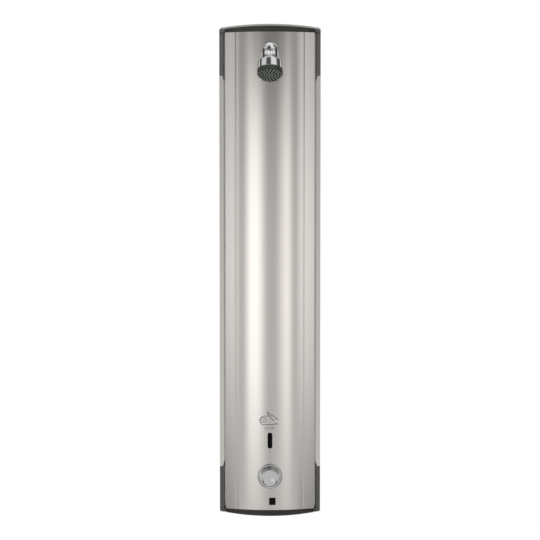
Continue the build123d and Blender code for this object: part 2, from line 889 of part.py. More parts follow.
def make_outlet_elbow():
    """Elbow that turns the solenoid valve's outlet up into the riser."""
    radius = outlet_radius
    z = outlet_axis()
    top = z + 24
    elbow = bar_x(radius, pipe_plane, z, riser_offset - 20, riser_offset)
    elbow += Pos(riser_offset, pipe_plane, z) * Sphere(radius)
    elbow += bar_z(radius, riser_offset, pipe_plane, z, top)
    elbow -= bar_x(outlet_radius - 3 + seat_gap, pipe_plane, z, riser_offset - 21, riser_offset - 10)
    elbow -= bar_x(water_bore - 1, pipe_plane, z, riser_offset - 11, riser_offset)
    elbow -= Pos(riser_offset, pipe_plane, z) * Sphere(water_bore - 1)
    elbow -= bar_z(water_bore - 1, riser_offset, pipe_plane, z, top)
    elbow -= bar_z(pipe_radius + seat_gap, riser_offset, pipe_plane, riser_bottom(), top + 1)
    return elbow


def riser_bottom():
    """Lower end of the riser pipe in its elbow."""
    return outlet_axis() + 12


def riser_top():
    """Upper end of the riser pipe in the head feed elbow."""
    return elbow_height - 14


def make_riser_pipe():
    """Copper riser from the solenoid valve to the head, set over to the middle near its top."""
    points = [
        (riser_offset, pipe_plane, riser_bottom()),
        (riser_offset, pipe_plane, riser_jog_bottom),
        (0, pipe_plane, riser_jog_top),
        (0, pipe_plane, riser_top()),
    ]
    path = FilletPolyline(*points, radius=riser_bend)
    ring = Circle(pipe_radius) - Circle(pipe_radius - pipe_wall)
    return sweep(Plane(origin=points[0], z_dir=(0, 0, 1)) * ring, path=path)


def make_riser_clips():
    """Plastic clips that hold the riser to the back plate."""
    clips = []
    outer = pipe_radius + seat_gap + clip_wall
    for z in clip_heights:
        low, high = z - clip_width / 2, z + clip_width / 2
        clip = bar_z(outer, riser_offset, pipe_plane, low, high)
        clip += block(riser_offset - 6, riser_offset + 6, pipe_plane, -chassis_wall, low, high)
        clip -= bar_z(pipe_radius + seat_gap, riser_offset, pipe_plane, low - 1, high + 1)
        mouth = pipe_radius - 1.5
        left, right = riser_offset - mouth, riser_offset + mouth
        clip -= block(left, right, pipe_plane, pipe_plane - 20, low - 1, high + 1)
        clips.append(clip)
    return clips


def feed_nut_back():
    """Back face of the swivel nut on the head feed."""
    return pipe_plane - 11


def make_head_feed_elbow():
    """Elbow from the riser forwards to the head's tail."""
    collar = feed_nut_back() - 3 - seat_gap
    elbow = bar_z(pipe_radius + 3, 0, pipe_plane, riser_top() - 4, elbow_height)
    elbow += Pos(0, pipe_plane, elbow_height) * Sphere(pipe_radius + 3)
    elbow += bar_y(branch_radius, 0, elbow_height, pipe_plane, collar - 3)
    elbow += bar_y(elbow_tail_radius - 0.7, 0, elbow_height, collar, collar - 3)
    elbow -= bar_z(pipe_radius + seat_gap, 0, pipe_plane, riser_top() - 5, riser_top())
    elbow -= bar_z(water_bore, 0, pipe_plane, riser_top(), elbow_height)
    elbow -= Pos(0, pipe_plane, elbow_height) * Sphere(water_bore)
    return elbow - bar_y(water_bore, 0, elbow_height, pipe_plane, collar - 4)


def tail_back():
    """Back end of the head elbow's tail, on its washer."""
    return feed_nut_back() - 6 - seat_gap - washer_thickness


def make_feed_washer():
    """Fibre washer between feed elbow and tail."""
    high = tail_back() + washer_thickness
    ring = bar_y(elbow_tail_radius - 0.7, 0, elbow_height, high, tail_back())
    return ring - bar_y(water_bore, 0, elbow_height, high + 1, tail_back() - 1)


def make_feed_nut():
    """Swivel nut that joins feed elbow and tail."""
    back = feed_nut_back()
    nut = hex_y(union_nut_radius, 0, elbow_height, back, tail_back() - 5.5)
    nut -= bar_y(branch_radius + seat_gap, 0, elbow_height, back + 1, back - 3)
    return nut - bar_y(elbow_tail_radius + seat_gap, 0, elbow_height, back - 3, tail_back() - 9)


def make_head_bracket():
    """Bent steel bracket that carries the shower head on the back plate."""
    low, high = elbow_height - 26, elbow_height + 26
    back = -chassis_wall
    rear = bracket_face + bracket_sheet
    bracket = block(-bracket_half_width, bracket_half_width, bracket_face, rear, low, high)
    for side in (-1, 1):
        edge = side * bracket_half_width
        inner = edge - side * bracket_sheet
        foot = edge + side * 14
        bracket += block(inner, edge, bracket_face, back, low, high)
        bracket += block(inner, foot, back - bracket_sheet, back, low, high)
        for z in (elbow_height - 16, elbow_height + 16):
            bracket -= bar_y(2.7, edge + side * 8, z, 0, back - bracket_sheet - 1)
    return bracket - bar_y(elbow_tail_radius + seat_gap, 0, elbow_height, bracket_face - 1, bracket_face + 9)


def make_bracket_rivets():
    """Four rivets through the bracket's feet."""
    rivets = []
    for side in (-1, 1):
        for z in (elbow_height - 16, elbow_height + 16):
            x = side * (bracket_half_width + 8)
            seat = -chassis_wall - bracket_sheet
            rivets.append(bar_y(4.2, x, z, seat, seat - 1.6) + bar_y(2.6, x, z, -chassis_wall, seat))
    return rivets


def make_tail_nut():
    """Back nut that clamps the head elbow to its bracket."""
    back = bracket_face + bracket_sheet
    nut = hex_y(union_nut_radius + 2, 0, elbow_height, back, back + 5)
    return nut - bar_y(elbow_tail_radius + seat_gap, 0, elbow_height, back - 1, back + 6)


def make_head_spacer():
    """Spacer tube between bracket and cover, shaped to the cover's inner face."""
    front = -body_depth
    ring = bar_y(elbow_radius - 2, 0, elbow_height, bracket_face, front)
    ring -= bar_y(elbow_tail_radius + seat_gap, 0, elbow_height, bracket_face + 1, front - 1)
    return ring & front_body(-cover_wall - 0.05)


def make_elbow_gasket():
    """Rubber gasket that follows the cover's crown under the head elbow."""
    ring = bar_y(elbow_radius + 0.8, 0, elbow_height, -body_depth + 3, elbow_shoulder())
    ring -= bar_y(elbow_tail_radius + seat_gap, 0, elbow_height, -body_depth + 4, elbow_shoulder() - 1)
    return ring - front_body(0.05)


def elbow_shoulder():
    """Depth of the elbow's back face on its gasket."""
    return -body_depth - 1.6


def make_head_elbow():
    """Chromed elbow: tail through the cover, flange, arm, domed corner and a downward mouth."""
    y = elbow_axis_y
    elbow = Pos(0, y, elbow_height) * Sphere(elbow_radius)
    elbow += bar_z(elbow_radius, 0, y, elbow_rim_height, elbow_height)
    elbow -= bar_z(elbow_radius, 0, y, elbow_rim_height - elbow_radius, elbow_rim_height)
    elbow += bar_y(arm_radius, 0, elbow_height, elbow_shoulder(), y)
    flange = bar_y(elbow_radius, 0, elbow_height, elbow_shoulder(), elbow_shoulder() - arm_flange_thickness)
    elbow += chamfer(flange.edges().group_by(Axis.Y)[0], arm_flange_thickness / 3)
    elbow += bar_y(elbow_tail_radius, 0, elbow_height, tail_back(), elbow_shoulder())
    elbow -= bar_y(elbow_bore, 0, elbow_height, tail_back() + 1, y)
    elbow -= Pos(0, y, elbow_height) * Sphere(elbow_bore)
    elbow -= bar_z(elbow_bore, 0, y, elbow_rim_height - 1, elbow_height)
    return elbow - bar_z(spigot_radius + seat_gap, 0, y, elbow_rim_height - 1, spigot_seat())


def spigot_seat():
    """Top of the spigot in the elbow's mouth."""
    return elbow_rim_height + 8


def spigot_end():
    """Lower end of the spigot in the head."""
    return spigot_seat() - spigot_length


def make_swivel_spigot():
    """Brass spigot screwed in the elbow, on which the head turns."""
    y = elbow_axis_y
    spigot = bar_z(spigot_radius, 0, y, spigot_end(), spigot_seat())
    spigot -= bar_z(elbow_bore, 0, y, spigot_end() - 1, spigot_seat() + 1)
    groove = spigot_end() + 2
    clip_seat = bar_z(spigot_radius + 1, 0, y, groove, groove + 1.6)
    spigot -= clip_seat - bar_z(spigot_radius - 1.2, 0, y, groove, groove + 1.6)
    for z in seal_heights():
        ring = bar_z(spigot_radius + 1, 0, y, z, z + 2.4)
        spigot -= ring - bar_z(spigot_radius - 1.6, 0, y, z - 1, z + 4)
    return spigot


def seal_heights():
    """Heights of the two seal grooves on the spigot."""
    return (spigot_end() + 7.5, spigot_end() + 12.5)


def make_swivel_seals():
    """Two rubber rings in the spigot's grooves."""
    rings = []
    for z in seal_heights():
        ring = bar_z(spigot_radius, 0, elbow_axis_y, z + 0.2, z + 2.2)
        rings.append(ring - bar_z(spigot_radius - 1.5, 0, elbow_axis_y, z, z + 3))
    return rings


def make_swivel_clip():
    """Spring clip in the spigot's end groove that keeps the head on."""
    low = spigot_end() + 2.2
    clip = bar_z(spigot_radius + 2.2, 0, elbow_axis_y, low, low + 1.2)
    clip -= bar_z(spigot_radius - 1.1, 0, elbow_axis_y, low - 1, low + 3)
    return clip - block(-3, 3, elbow_axis_y, elbow_axis_y - 20, low - 1, low + 3)


def spray_place():
    """Placement of the spray axis: origin at the bell's top centre, Z along the spray."""
    tilt = math.radians(head_tilt)
    centre = (0, elbow_axis_y, elbow_rim_height - 10)
    spray = (0, -math.sin(tilt), -math.cos(tilt))
    return Plane(origin=centre, x_dir=(1, 0, 0), z_dir=spray).location


def along_spray(radius, start, end):
    """Round bar along the spray axis between two distances from the bell's top centre."""
    return spray_place() * Pos(0, 0, (start + end) / 2) * Cylinder(radius, end - start)


def make_head_bell():
    """Chromed bell: upright neck that turns on the spigot, and a tilted round body."""
    y = elbow_axis_y
    body = spray_place() * fillet((Pos(0, 0, bell_length / 2) * Cylinder(bell_radius, bell_length))
                                  .edges().group_by(Axis.Z)[0], bell_shoulder)
    neck_low = elbow_rim_height - 16
    body += bar_z(neck_radius, 0, y, neck_low, elbow_rim_height - loose_gap)
    body -= along_spray(bell_radius - bell_wall, chamber_start(), bell_length + 1)
    body -= bar_z(spigot_radius + running_gap, 0, y, spigot_end() - 0.5, elbow_rim_height)
    clip_room = spigot_radius + 3.5
    return body - bar_z(clip_room, 0, y, spigot_end() - 6, spigot_end() + 4.2)


def chamber_start():
    """Distance from the bell's top to the roof of its water chamber."""
    return bell_length - chamber_height


def make_flow_disc():
    """Flow disc that spreads the water over the nozzle plate."""
    start = bell_length - 2.5
    disc = along_spray(bell_radius - bell_wall - seat_gap, start, start + 2)
    for turn in range(10):
        angle = math.radians(36 * turn)
        place = Pos(17 * math.cos(angle), 17 * math.sin(angle), start)
        disc -= spray_place() * place * Cylinder(1.5, 10)
    return disc


def make_nozzle_plate():
    """Dark nozzle plate: skirted disc with rings of soft nozzles."""
    front = bell_length + plate_skirt
    plate = along_spray(bell_radius - 0.4, bell_length, front)
    plate -= along_spray(bell_radius - 0.4 - bell_wall, bell_length - 1, front - plate_thickness)
    for radius, count in zip(nozzle_radii, nozzle_counts):
        for turn in range(count):
            angle = 2 * math.pi * turn / count
            place = Pos(radius * math.cos(angle), radius * math.sin(angle), front + nozzle_height / 2)
            nozzle = Cone(nozzle_base_radius, nozzle_tip_radius, nozzle_height)
            plate += spray_place() * place * nozzle
    return plate - nozzle_bores(front)


def nozzle_bores(front):
    """All nozzle waterways as one cutting shape."""
    bores = []
    for radius, count in zip(nozzle_radii, nozzle_counts):
        for turn in range(count):
            angle = 2 * math.pi * turn / count
            place = Pos(radius * math.cos(angle), radius * math.sin(angle), front)
            bores.append(spray_place() * place * Cylinder(nozzle_bore, 4 * plate_thickness))
    return bores


def make_sensor_window():
    """Dark infrared window through the cover, with a rim behind it."""
    lens = slot_y(window_width, window_length, -body_depth - window_proud, -body_depth + 4)
    rim_front = sensor_box_front() + seat_gap
    rim = slot_y(window_width + 2 * window_rim, window_length + 2 * window_rim, rim_front, -body_depth + 5)
    return lens + rim


def sensor_box_front():
    """Front edge of the sensor box against the cover's inner face."""
    return -body_depth + cover_wall + 0.5


def make_sensor_box():
    """Open-fronted box that holds the sensor board behind the window."""
    half = sensor_box_width / 2
    low, high = sensor_height - sensor_box_length / 2, sensor_height + sensor_box_length / 2
    front = sensor_box_front()
    back = front + sensor_box_depth
    wall = sensor_box_wall
    box = block(-half, half, front, back, low, high)
    box -= block(-half + wall, half - wall, front - 1, back - wall, low + wall, high - wall)
    for z in (sensor_height - 18, sensor_height + 18):
        for x in (-9, 9):
            box += bar_y(2.2, x, z, back - wall - 7, back - wall)
    return box


def board_back():
    """Back face of the sensor board, on its four posts."""
    return sensor_box_front() + sensor_box_depth - sensor_box_wall - 7


def make_sensor_board():
    """Sensor circuit board with its chips."""
    half = sensor_box_width / 2 - sensor_box_wall - 0.4
    reach = sensor_box_length / 2 - sensor_box_wall - 0.4
    back = board_back()
    board = block(-half, half, back - board_thickness, back, sensor_height - reach, sensor_height + reach)
    board += block(-5, 5, back, back + 1.6, sensor_height - 6, sensor_height + 6)
    return board


def make_sensor_eyes():
    """Infrared sender and receiver standing on the board."""
    eyes = []
    for z in (sensor_height - 10, sensor_height + 10):
        eye = bar_y(2.5, 0, z, board_back() - board_thickness, board_back() - 5)
        eyes.append(eye + Pos(0, board_back() - 5, z) * Sphere(2.5))
    return eyes


def battery_box_right():
    """Right side of the battery box."""
    return battery_box_left + battery_box_width


def make_battery_box():
    """Sealed box on the back plate for the battery and the control board."""
    back = -chassis_wall
    front = back - battery_box_depth
    top = battery_box_bottom + battery_box_length
    wall = battery_box_wall
    box = block(battery_box_left, battery_box_right(), front, back, battery_box_bottom, top)
    box -= block(battery_box_left + wall, battery_box_right() - wall, front - 1, back - wall,
                 battery_box_bottom + wall, top - wall)
    return box


def make_battery_lid():
    """Screwed lid of the battery box."""
    front = -chassis_wall - battery_box_depth
    top = battery_box_bottom + battery_box_length
    lid = block(battery_box_left, battery_box_right(), front - battery_lid_thickness, front,
                battery_box_bottom, top)
    return fillet(lid.edges().filter_by(Axis.Y), 3)


def make_battery():
    """Six-volt lithium battery pack."""
    left = battery_box_left + battery_box_wall + content_gap
    low = battery_box_bottom + battery_box_wall + content_gap
    back = -chassis_wall - battery_box_wall
    pack = block(left, left + battery_width, back - battery_depth, back, low, low + battery_length)
    return fillet(pack.edges().filter_by(Axis.Z), 8)


def make_control_board():
    """Control board beside the battery."""
    left = battery_box_left + battery_box_wall + content_gap
    low = battery_box_bottom + battery_box_wall + 2 * content_gap + battery_length
    back = -chassis_wall - battery_box_wall
    face = back - board_thickness
    column, row = board_width / 8, board_length / 8
    board = block(left, left + board_width, face, back, low, low + board_length)
    board += block(left + column, left + 3 * column, face - chip_height, face, low + 2 * row, low + 5 * row)
    relay_front = face - relay_height
    return board + block(left + 5 * column, left + 7 * column, relay_front, face, low + row, low + 4 * row)


def cable(points):
    """Round cable along straight runs with tangent bends."""
    path = FilletPolyline(*points, radius=cable_bend)
    start = Vector(*points[1]) - Vector(*points[0])
    return sweep(Plane(origin=points[0], z_dir=start) * Circle(cable_radius), path=path)


def make_sensor_cable():
    """Cable from the sensor box up and back into the battery box."""
    exit_z = sensor_height + sensor_box_length / 2
    y = sensor_box_front() + sensor_box_depth - 6
    goal_x = battery_box_right() - 14
    goal_y = -chassis_wall - battery_box_depth / 2
    points = [
        (-6, y, exit_z),
        (-6, y, exit_z + cable_lead),
        (goal_x, goal_y, battery_box_bottom - cable_lead),
        (goal_x, goal_y, battery_box_bottom),
    ]
    return cable(points)


def make_coil_cable():
    """Cable from the coil's terminal boss up into the battery box."""
    x = -coil_size / 2 - 2.5
    goal_x = battery_box_left + 16
    goal_y = -chassis_wall - battery_box_depth / 2
    boss_top = coil_bottom() + coil_height - 4
    points = [
        (x, pipe_plane, boss_top),
        (x, pipe_plane, boss_top + 18),
        (goal_x, goal_y, battery_box_bottom - cable_lead),
        (goal_x, goal_y, battery_box_bottom),
    ]
    return cable(points)


def make_blank_plate():
    """Small plain dark plate low on the cover."""
    half_x, half_z = plate_width / 2, plate_length / 2
    front = -body_depth - plate_height
    low, high = plate_z - half_z, plate_z + half_z
    plate = block(plate_x - half_x, plate_x + half_x, front, -body_depth + 2, low, high)
    plate = fillet(plate.edges().filter_by(Axis.Y), 2)
    return plate - front_body(0.02)


def group(solids):
    """Like pieces kept as separate solids of one node."""
    return Compound(children=solids)


nodes = {
    "back_chassis": make_back_chassis(),
    "front_cover": make_front_cover(),
    "top_cap": make_cap(section_top, top_cap_side_height, True),
    "bottom_cap": make_cap(-section_bottom, bottom_cap_side_height, False),
    "cap_screws": group(
        make_cap_screws(section_top, top_cap_side_height, True)
        + make_cap_screws(-section_bottom, bottom_cap_side_height, False)
    ),
    "hot_inlet_stop": make_stop_body(-1),
    "cold_inlet_stop": make_stop_body(1),
    "hot_stop_plug": make_stop_plug(-1),
    "cold_stop_plug": make_stop_plug(1),
    "inlet_strainers": group([make_strainer(-1), make_strainer(1)]),
    "check_valves": group([make_check_valve(-1), make_check_valve(1)]),
    "stop_flange_screws": group(make_flange_screws()),
    "union_nuts": group(make_inlet_nuts() + [make_outlet_nut(), make_feed_nut()]),
    "union_washers": group(make_inlet_washers() + [make_outlet_washer(), make_feed_washer()]),
    "mixer_body": make_mixer_body(),
    "cartridge_sleeve": make_cartridge_sleeve(),
    "temperature_piston": make_temperature_piston(),
    "wax_element": make_wax_element(),
    "piston_spring": make_return_spring(),
    "cartridge_head_nut": make_head_nut(),
    "spindle_seal": make_spindle_seal(),
    "temperature_spindle": make_temperature_spindle(),
    "temperature_knob": make_temperature_knob(),
    "knob_screw": make_knob_screw(),
    "knob_face_plug": make_knob_cap(),
    "scale_ring": make_scale_ring(),
    "solenoid_valve_body": make_solenoid_body(),
    "solenoid_diaphragm": make_diaphragm(),
    "solenoid_bonnet": make_bonnet(),
    "solenoid_bonnet_screws": group(make_bonnet_screws()),
    "solenoid_coil": make_solenoid_coil(),
    "solenoid_coil_nut": make_coil_nut(),
    "solenoid_plunger": make_plunger(),
    "plunger_spring": make_plunger_spring(),
    "riser_outlet_elbow": make_outlet_elbow(),
    "riser_pipe": make_riser_pipe(),
    "riser_clips": group(make_riser_clips()),
    "head_feed_elbow": make_head_feed_elbow(),
    "head_bracket": make_head_bracket(),
    "head_bracket_rivets": group(make_bracket_rivets()),
    "head_tail_nut": make_tail_nut(),
    "head_spacer": make_head_spacer(),
    "head_elbow_gasket": make_elbow_gasket(),
    "head_elbow": make_head_elbow(),
    "head_swivel_spigot": make_swivel_spigot(),
    "head_swivel_seals": group(make_swivel_seals()),
    "head_swivel_clip": make_swivel_clip(),
    "head_bell": make_head_bell(),
    "head_flow_disc": make_flow_disc(),
    "head_nozzle_plate": make_nozzle_plate(),
    "sensor_window": make_sensor_window(),
    "sensor_box": make_sensor_box(),
    "sensor_board": make_sensor_board(),
    "sensor_eyes": group(make_sensor_eyes()),
    "battery_box": make_battery_box(),
    "battery_lid": make_battery_lid(),
    "battery_pack": make_battery(),
    "control_board": make_control_board(),
    "internal_cables": group([make_sensor_cable(), make_coil_cable()]),
    "blank_plate": make_blank_plate(),
}

os.makedirs("parts", exist_ok=True)
for name, shape in nodes.items():
    export_step(shape, f"parts/{name}.step")
    print(name, round(shape.volume))
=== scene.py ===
import math

import bmesh
import bpy
import numpy as np
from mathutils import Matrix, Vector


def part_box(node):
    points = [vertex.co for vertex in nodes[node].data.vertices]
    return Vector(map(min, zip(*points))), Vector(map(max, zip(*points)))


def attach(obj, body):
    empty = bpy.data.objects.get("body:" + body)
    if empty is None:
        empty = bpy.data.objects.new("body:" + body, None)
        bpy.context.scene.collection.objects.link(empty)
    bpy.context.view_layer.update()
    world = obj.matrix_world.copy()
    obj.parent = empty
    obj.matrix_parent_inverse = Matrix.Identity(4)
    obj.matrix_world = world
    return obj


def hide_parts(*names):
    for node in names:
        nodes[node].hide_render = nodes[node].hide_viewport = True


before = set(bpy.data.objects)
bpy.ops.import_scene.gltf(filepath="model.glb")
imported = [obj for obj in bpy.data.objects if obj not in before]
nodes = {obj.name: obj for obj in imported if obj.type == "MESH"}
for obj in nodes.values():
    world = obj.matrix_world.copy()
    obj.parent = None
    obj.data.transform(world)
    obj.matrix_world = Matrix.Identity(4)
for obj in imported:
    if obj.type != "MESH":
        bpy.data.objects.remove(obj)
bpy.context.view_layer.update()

# Back chassis
# One length of aluminium pushed through a die, satin anodised and sawn to length.
# It hangs on four wall screws and carries everything else; the die leaves fine lines along it.


def new_group(name, inputs, outputs):
    """Shader node group with named number sockets, holding a texture coordinate and its output node."""
    group = bpy.data.node_groups.new(name, "ShaderNodeTree")
    for label, value in inputs.items():
        socket = group.interface.new_socket(label, in_out="INPUT", socket_type="NodeSocketFloat")
        socket.default_value = value
    for label in outputs:
        group.interface.new_socket(label, in_out="OUTPUT", socket_type="NodeSocketFloat")
    entry = group.nodes.new("NodeGroupInput")
    leave = group.nodes.new("NodeGroupOutput")
    place = group.nodes.new("ShaderNodeTexCoord")
    return group, entry, leave, place.outputs["Object"]


def stretched_noise(group, place, scales, detail):
    """Noise on object coordinates, each axis multiplied by its own scale."""
    axes = group.nodes.new("ShaderNodeCombineXYZ")
    for axis, scale in enumerate(scales):
        group.links.new(scale, axes.inputs[axis])
    stretch = group.nodes.new("ShaderNodeVectorMath")
    stretch.operation = "MULTIPLY"
    group.links.new(place, stretch.inputs[0])
    group.links.new(axes.outputs[0], stretch.inputs[1])
    noise = group.nodes.new("ShaderNodeTexNoise")
    noise.inputs["Scale"].default_value = 1.0
    noise.inputs["Detail"].default_value = detail
    group.links.new(stretch.outputs[0], noise.inputs["Vector"])
    return noise.outputs["Fac"]


def put_mask(group, leave, fine, clouds, share):
    """Mask output as fine noise mixed with clouds by a share; the fine noise alone is the height."""
    mean = group.nodes.new("ShaderNodeMix")
    mean.inputs[0].default_value = share
    group.links.new(fine, mean.inputs[2])
    group.links.new(clouds, mean.inputs[3])
    group.links.new(mean.outputs[0], leave.inputs["Mask"])
    group.links.new(fine, leave.inputs["Height"])


def make_drawn_lines():
    """Long streaks along Z crossed by a soft cloud: noise far finer across than along the piece."""
    group, entry, leave, place = new_group(
        "drawn_lines", {"Across": 2500.0, "Along": 12.0, "Cloud": 18.0}, ("Mask", "Height")
    )
    across, along, cloud = (entry.outputs[label] for label in ("Across", "Along", "Cloud"))
    streaks = stretched_noise(group, place, (across, across, along), 3.0)
    clouds = stretched_noise(group, place, (cloud, cloud, cloud), 2.0)
    put_mask(group, leave, streaks, clouds, 0.35)
    return group


def finish(name, colours, roughness, metallic, group, scales, bump, coat=0.0, specular=0.5):
    """Procedural material: the group's mask blends two colours and two roughness values,
    and its height bends the normal by bump, given in metres."""
    material = bpy.data.materials.new(name)
    material.use_nodes = True
    tree = material.node_tree
    shader = tree.nodes["Principled BSDF"]
    shader.inputs["Metallic"].default_value = metallic
    shader.inputs["Coat Weight"].default_value = coat
    shader.inputs["Coat Roughness"].default_value = 0.05
    shader.inputs["Specular IOR Level"].default_value = specular
    pattern = tree.nodes.new("ShaderNodeGroup")
    pattern.node_tree = group
    for label, value in scales.items():
        pattern.inputs[label].default_value = value
    blend = tree.nodes.new("ShaderNodeMix")
    blend.data_type = "RGBA"
    blend.inputs[6].default_value = (*colours[0], 1.0)
    blend.inputs[7].default_value = (*colours[1], 1.0)
    tree.links.new(pattern.outputs["Mask"], blend.inputs[0])
    tree.links.new(blend.outputs[2], shader.inputs["Base Color"])
    spread = tree.nodes.new("ShaderNodeMapRange")
    spread.inputs["To Min"].default_value = roughness[0]
    spread.inputs["To Max"].default_value = roughness[1]
    tree.links.new(pattern.outputs["Mask"], spread.inputs["Value"])
    tree.links.new(spread.outputs[0], shader.inputs["Roughness"])
    relief = tree.nodes.new("ShaderNodeBump")
    relief.inputs["Strength"].default_value = 1.0
    relief.inputs["Distance"].default_value = bump
    tree.links.new(pattern.outputs["Height"], relief.inputs["Height"])
    tree.links.new(relief.outputs[0], shader.inputs["Normal"])
    return material


def dress(material, *names):
    """Gives CAD nodes one material."""
    for name in names:
        nodes[name].data.materials.clear()
        nodes[name].data.materials.append(material)


drawn_lines = make_drawn_lines()
chassis_aluminium = finish(
    "chassis_aluminium", ((0.88, 0.855, 0.83), (0.95, 0.925, 0.90)), (0.30, 0.42), 1.0,
    drawn_lines, {"Across": 1800.0, "Along": 9.0, "Cloud": 14.0}, bump=0.000004,
)
dress(chassis_aluminium, "back_chassis")

# Inlet stops, unions and thermostatic mixer
# Hot pressed and turned brass bodies, left bare inside the casing, with steel screws and strainers.
# The stops screw to the wall pipes and are drawn to the mixer by hexagon union nuts.


def make_fine_speckle():
    """Even fine relief for moulded and cast skins: small noise with a broad cloud."""
    group, entry, leave, place = new_group(
        "fine_speckle", {"Grain": 1500.0, "Cloud": 25.0}, ("Mask", "Height")
    )
    grain, cloud = entry.outputs["Grain"], entry.outputs["Cloud"]
    specks = stretched_noise(group, place, (grain, grain, grain), 2.0)
    clouds = stretched_noise(group, place, (cloud, cloud, cloud), 3.0)
    put_mask(group, leave, specks, clouds, 0.5)
    return group


fine_speckle = make_fine_speckle()
bare_brass = finish(
    "bare_brass", ((0.60, 0.42, 0.19), (0.76, 0.58, 0.30)), (0.28, 0.45), 1.0,
    fine_speckle, {"Grain": 900.0, "Cloud": 40.0}, bump=0.00002,
)
zinc_steel = finish(
    "zinc_steel", ((0.55, 0.56, 0.56), (0.70, 0.71, 0.72)), (0.25, 0.42), 1.0,
    fine_speckle, {"Grain": 1200.0, "Cloud": 60.0}, bump=0.00001,
)
fibre_and_rubber = finish(
    "fibre_and_rubber", ((0.020, 0.020, 0.019), (0.045, 0.043, 0.040)), (0.55, 0.75), 0.0,
    fine_speckle, {"Grain": 1600.0, "Cloud": 80.0}, bump=0.00002,
)
dress(
    bare_brass, "hot_inlet_stop", "cold_inlet_stop", "hot_stop_plug", "cold_stop_plug", "union_nuts",
    "mixer_body", "cartridge_head_nut", "temperature_spindle", "wax_element",
)
dress(zinc_steel, "stop_flange_screws", "inlet_strainers", "piston_spring", "knob_screw")
dress(fibre_and_rubber, "union_washers", "spindle_seal")

# Plastic works of the mixer, and the boxes of sensor and battery
# Injection moulded parts in dark plastic with a fine sparked grain from the mould.
# They push or clip in place; the battery lid is screwed down.
moulded_plastic = finish(
    "moulded_plastic", ((0.070, 0.068, 0.064), (0.105, 0.102, 0.097)), (0.42, 0.55), 0.0,
    fine_speckle, {"Grain": 2200.0, "Cloud": 20.0}, bump=0.00003,
)
dress(
    moulded_plastic, "check_valves", "cartridge_sleeve", "temperature_piston", "sensor_box",
    "battery_box", "battery_lid", "riser_clips", "solenoid_coil", "head_flow_disc",
)

# Solenoid valve
# Brass block and steel bonnet with a moulded coil on its armature tube.
# A rubber diaphragm closes on the seat and a sprung plunger opens its pilot hole.
dress(bare_brass, "solenoid_valve_body")
dress(
    zinc_steel, "solenoid_bonnet", "solenoid_bonnet_screws", "solenoid_coil_nut", "solenoid_plunger",
    "plunger_spring",
)
dress(fibre_and_rubber, "solenoid_diaphragm")

# Riser and head feed
# Bent steel tube with pressed brass elbows at both ends.
# A folded steel bracket, riveted to the chassis, takes the pull of the shower head.
dress(bare_brass, "riser_outlet_elbow", "head_feed_elbow", "head_tail_nut", "head_spacer")
dress(zinc_steel, "riser_pipe", "head_bracket", "head_bracket_rivets")

# Electrics
# Green fibreglass boards with black parts, a shrink-wrapped lithium pack and grey sheathed cables.
# They lie in the sealed boxes behind the cover.
board_lacquer = finish(
    "board_lacquer", ((0.015, 0.11, 0.045), (0.03, 0.17, 0.07)), (0.25, 0.4), 0.0,
    fine_speckle, {"Grain": 700.0, "Cloud": 150.0}, bump=0.00002, coat=0.4,
)
pack_wrap = finish(
    "pack_wrap", ((0.05, 0.12, 0.30), (0.07, 0.16, 0.36)), (0.25, 0.35), 0.0,
    fine_speckle, {"Grain": 400.0, "Cloud": 30.0}, bump=0.00004, coat=0.3,
)
cable_sheath = finish(
    "cable_sheath", ((0.20, 0.20, 0.20), (0.27, 0.27, 0.26)), (0.45, 0.6), 0.0,
    fine_speckle, {"Grain": 1500.0, "Cloud": 60.0}, bump=0.00002,
)
dress(board_lacquer, "sensor_board", "control_board")
dress(pack_wrap, "battery_pack")
dress(cable_sheath, "internal_cables")

# Front cover
# Second aluminium extrusion: a crowned middle, a thin shadow groove at each crease and flat wings.
# It slides over the chassis lips from above and has punched holes for head, window and knob.
cover_low, cover_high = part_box("front_cover")
cover_half = cover_high.x
cover_wall = 0.0022
crease_x = 0.0768
crease_y = -0.068
crown_y = cover_low.y
wing_y = -0.0595
wing_bulge = 0.0002
lip_y = -0.042
flange_reach = 0.007
groove_width = 0.0024
groove_depth = 0.0014
crown_radius = (crease_x**2 + (crease_y - crown_y) ** 2) / (2 * (crease_y - crown_y))
edge_break = 0.0005
edge_ease = 0.0001
head_z = 0.499
head_hole_radius = 0.0128
knob_z = -0.4715
knob_hole_radius = 0.013
window_z = -0.389
window_hole_size = (0.0112, 0.0372)
punch_depths = (-0.09, -0.06)


def crown(x, inset=0.0):
    """Depth of the crowned middle at x: a circle through both creases and the front line."""
    radius = crown_radius - inset
    return crown_y + crown_radius - np.sqrt(radius**2 - np.asarray(x, float) ** 2)


def lofted(name, points, wrap_rows=False, caps=True):
    """Closed mesh of a grid of points (rows, columns, 3): neighbours joined by quads round each row,
    from row to row, with a flat cap on the first and last row where the rows don't wrap."""
    rows, columns = points.shape[:2]
    index = np.arange(rows * columns).reshape(rows, columns)
    beside = np.roll(index, -1, axis=1)
    here, there = (index, np.roll(index, -1, axis=0)) if wrap_rows else (index[:-1], index[1:])
    beside_here = beside if wrap_rows else beside[:-1]
    beside_there = np.roll(beside, -1, axis=0) if wrap_rows else beside[1:]
    quads = np.stack([here, beside_here, beside_there, there], axis=-1).reshape(-1, 4)
    faces = quads.tolist()
    if caps and not wrap_rows:
        faces += [index[0][::-1].tolist(), index[-1].tolist()]
    mesh = bpy.data.meshes.new(name)
    mesh.from_pydata(points.reshape(-1, 3).tolist(), [], faces)
    return closed(name, mesh)


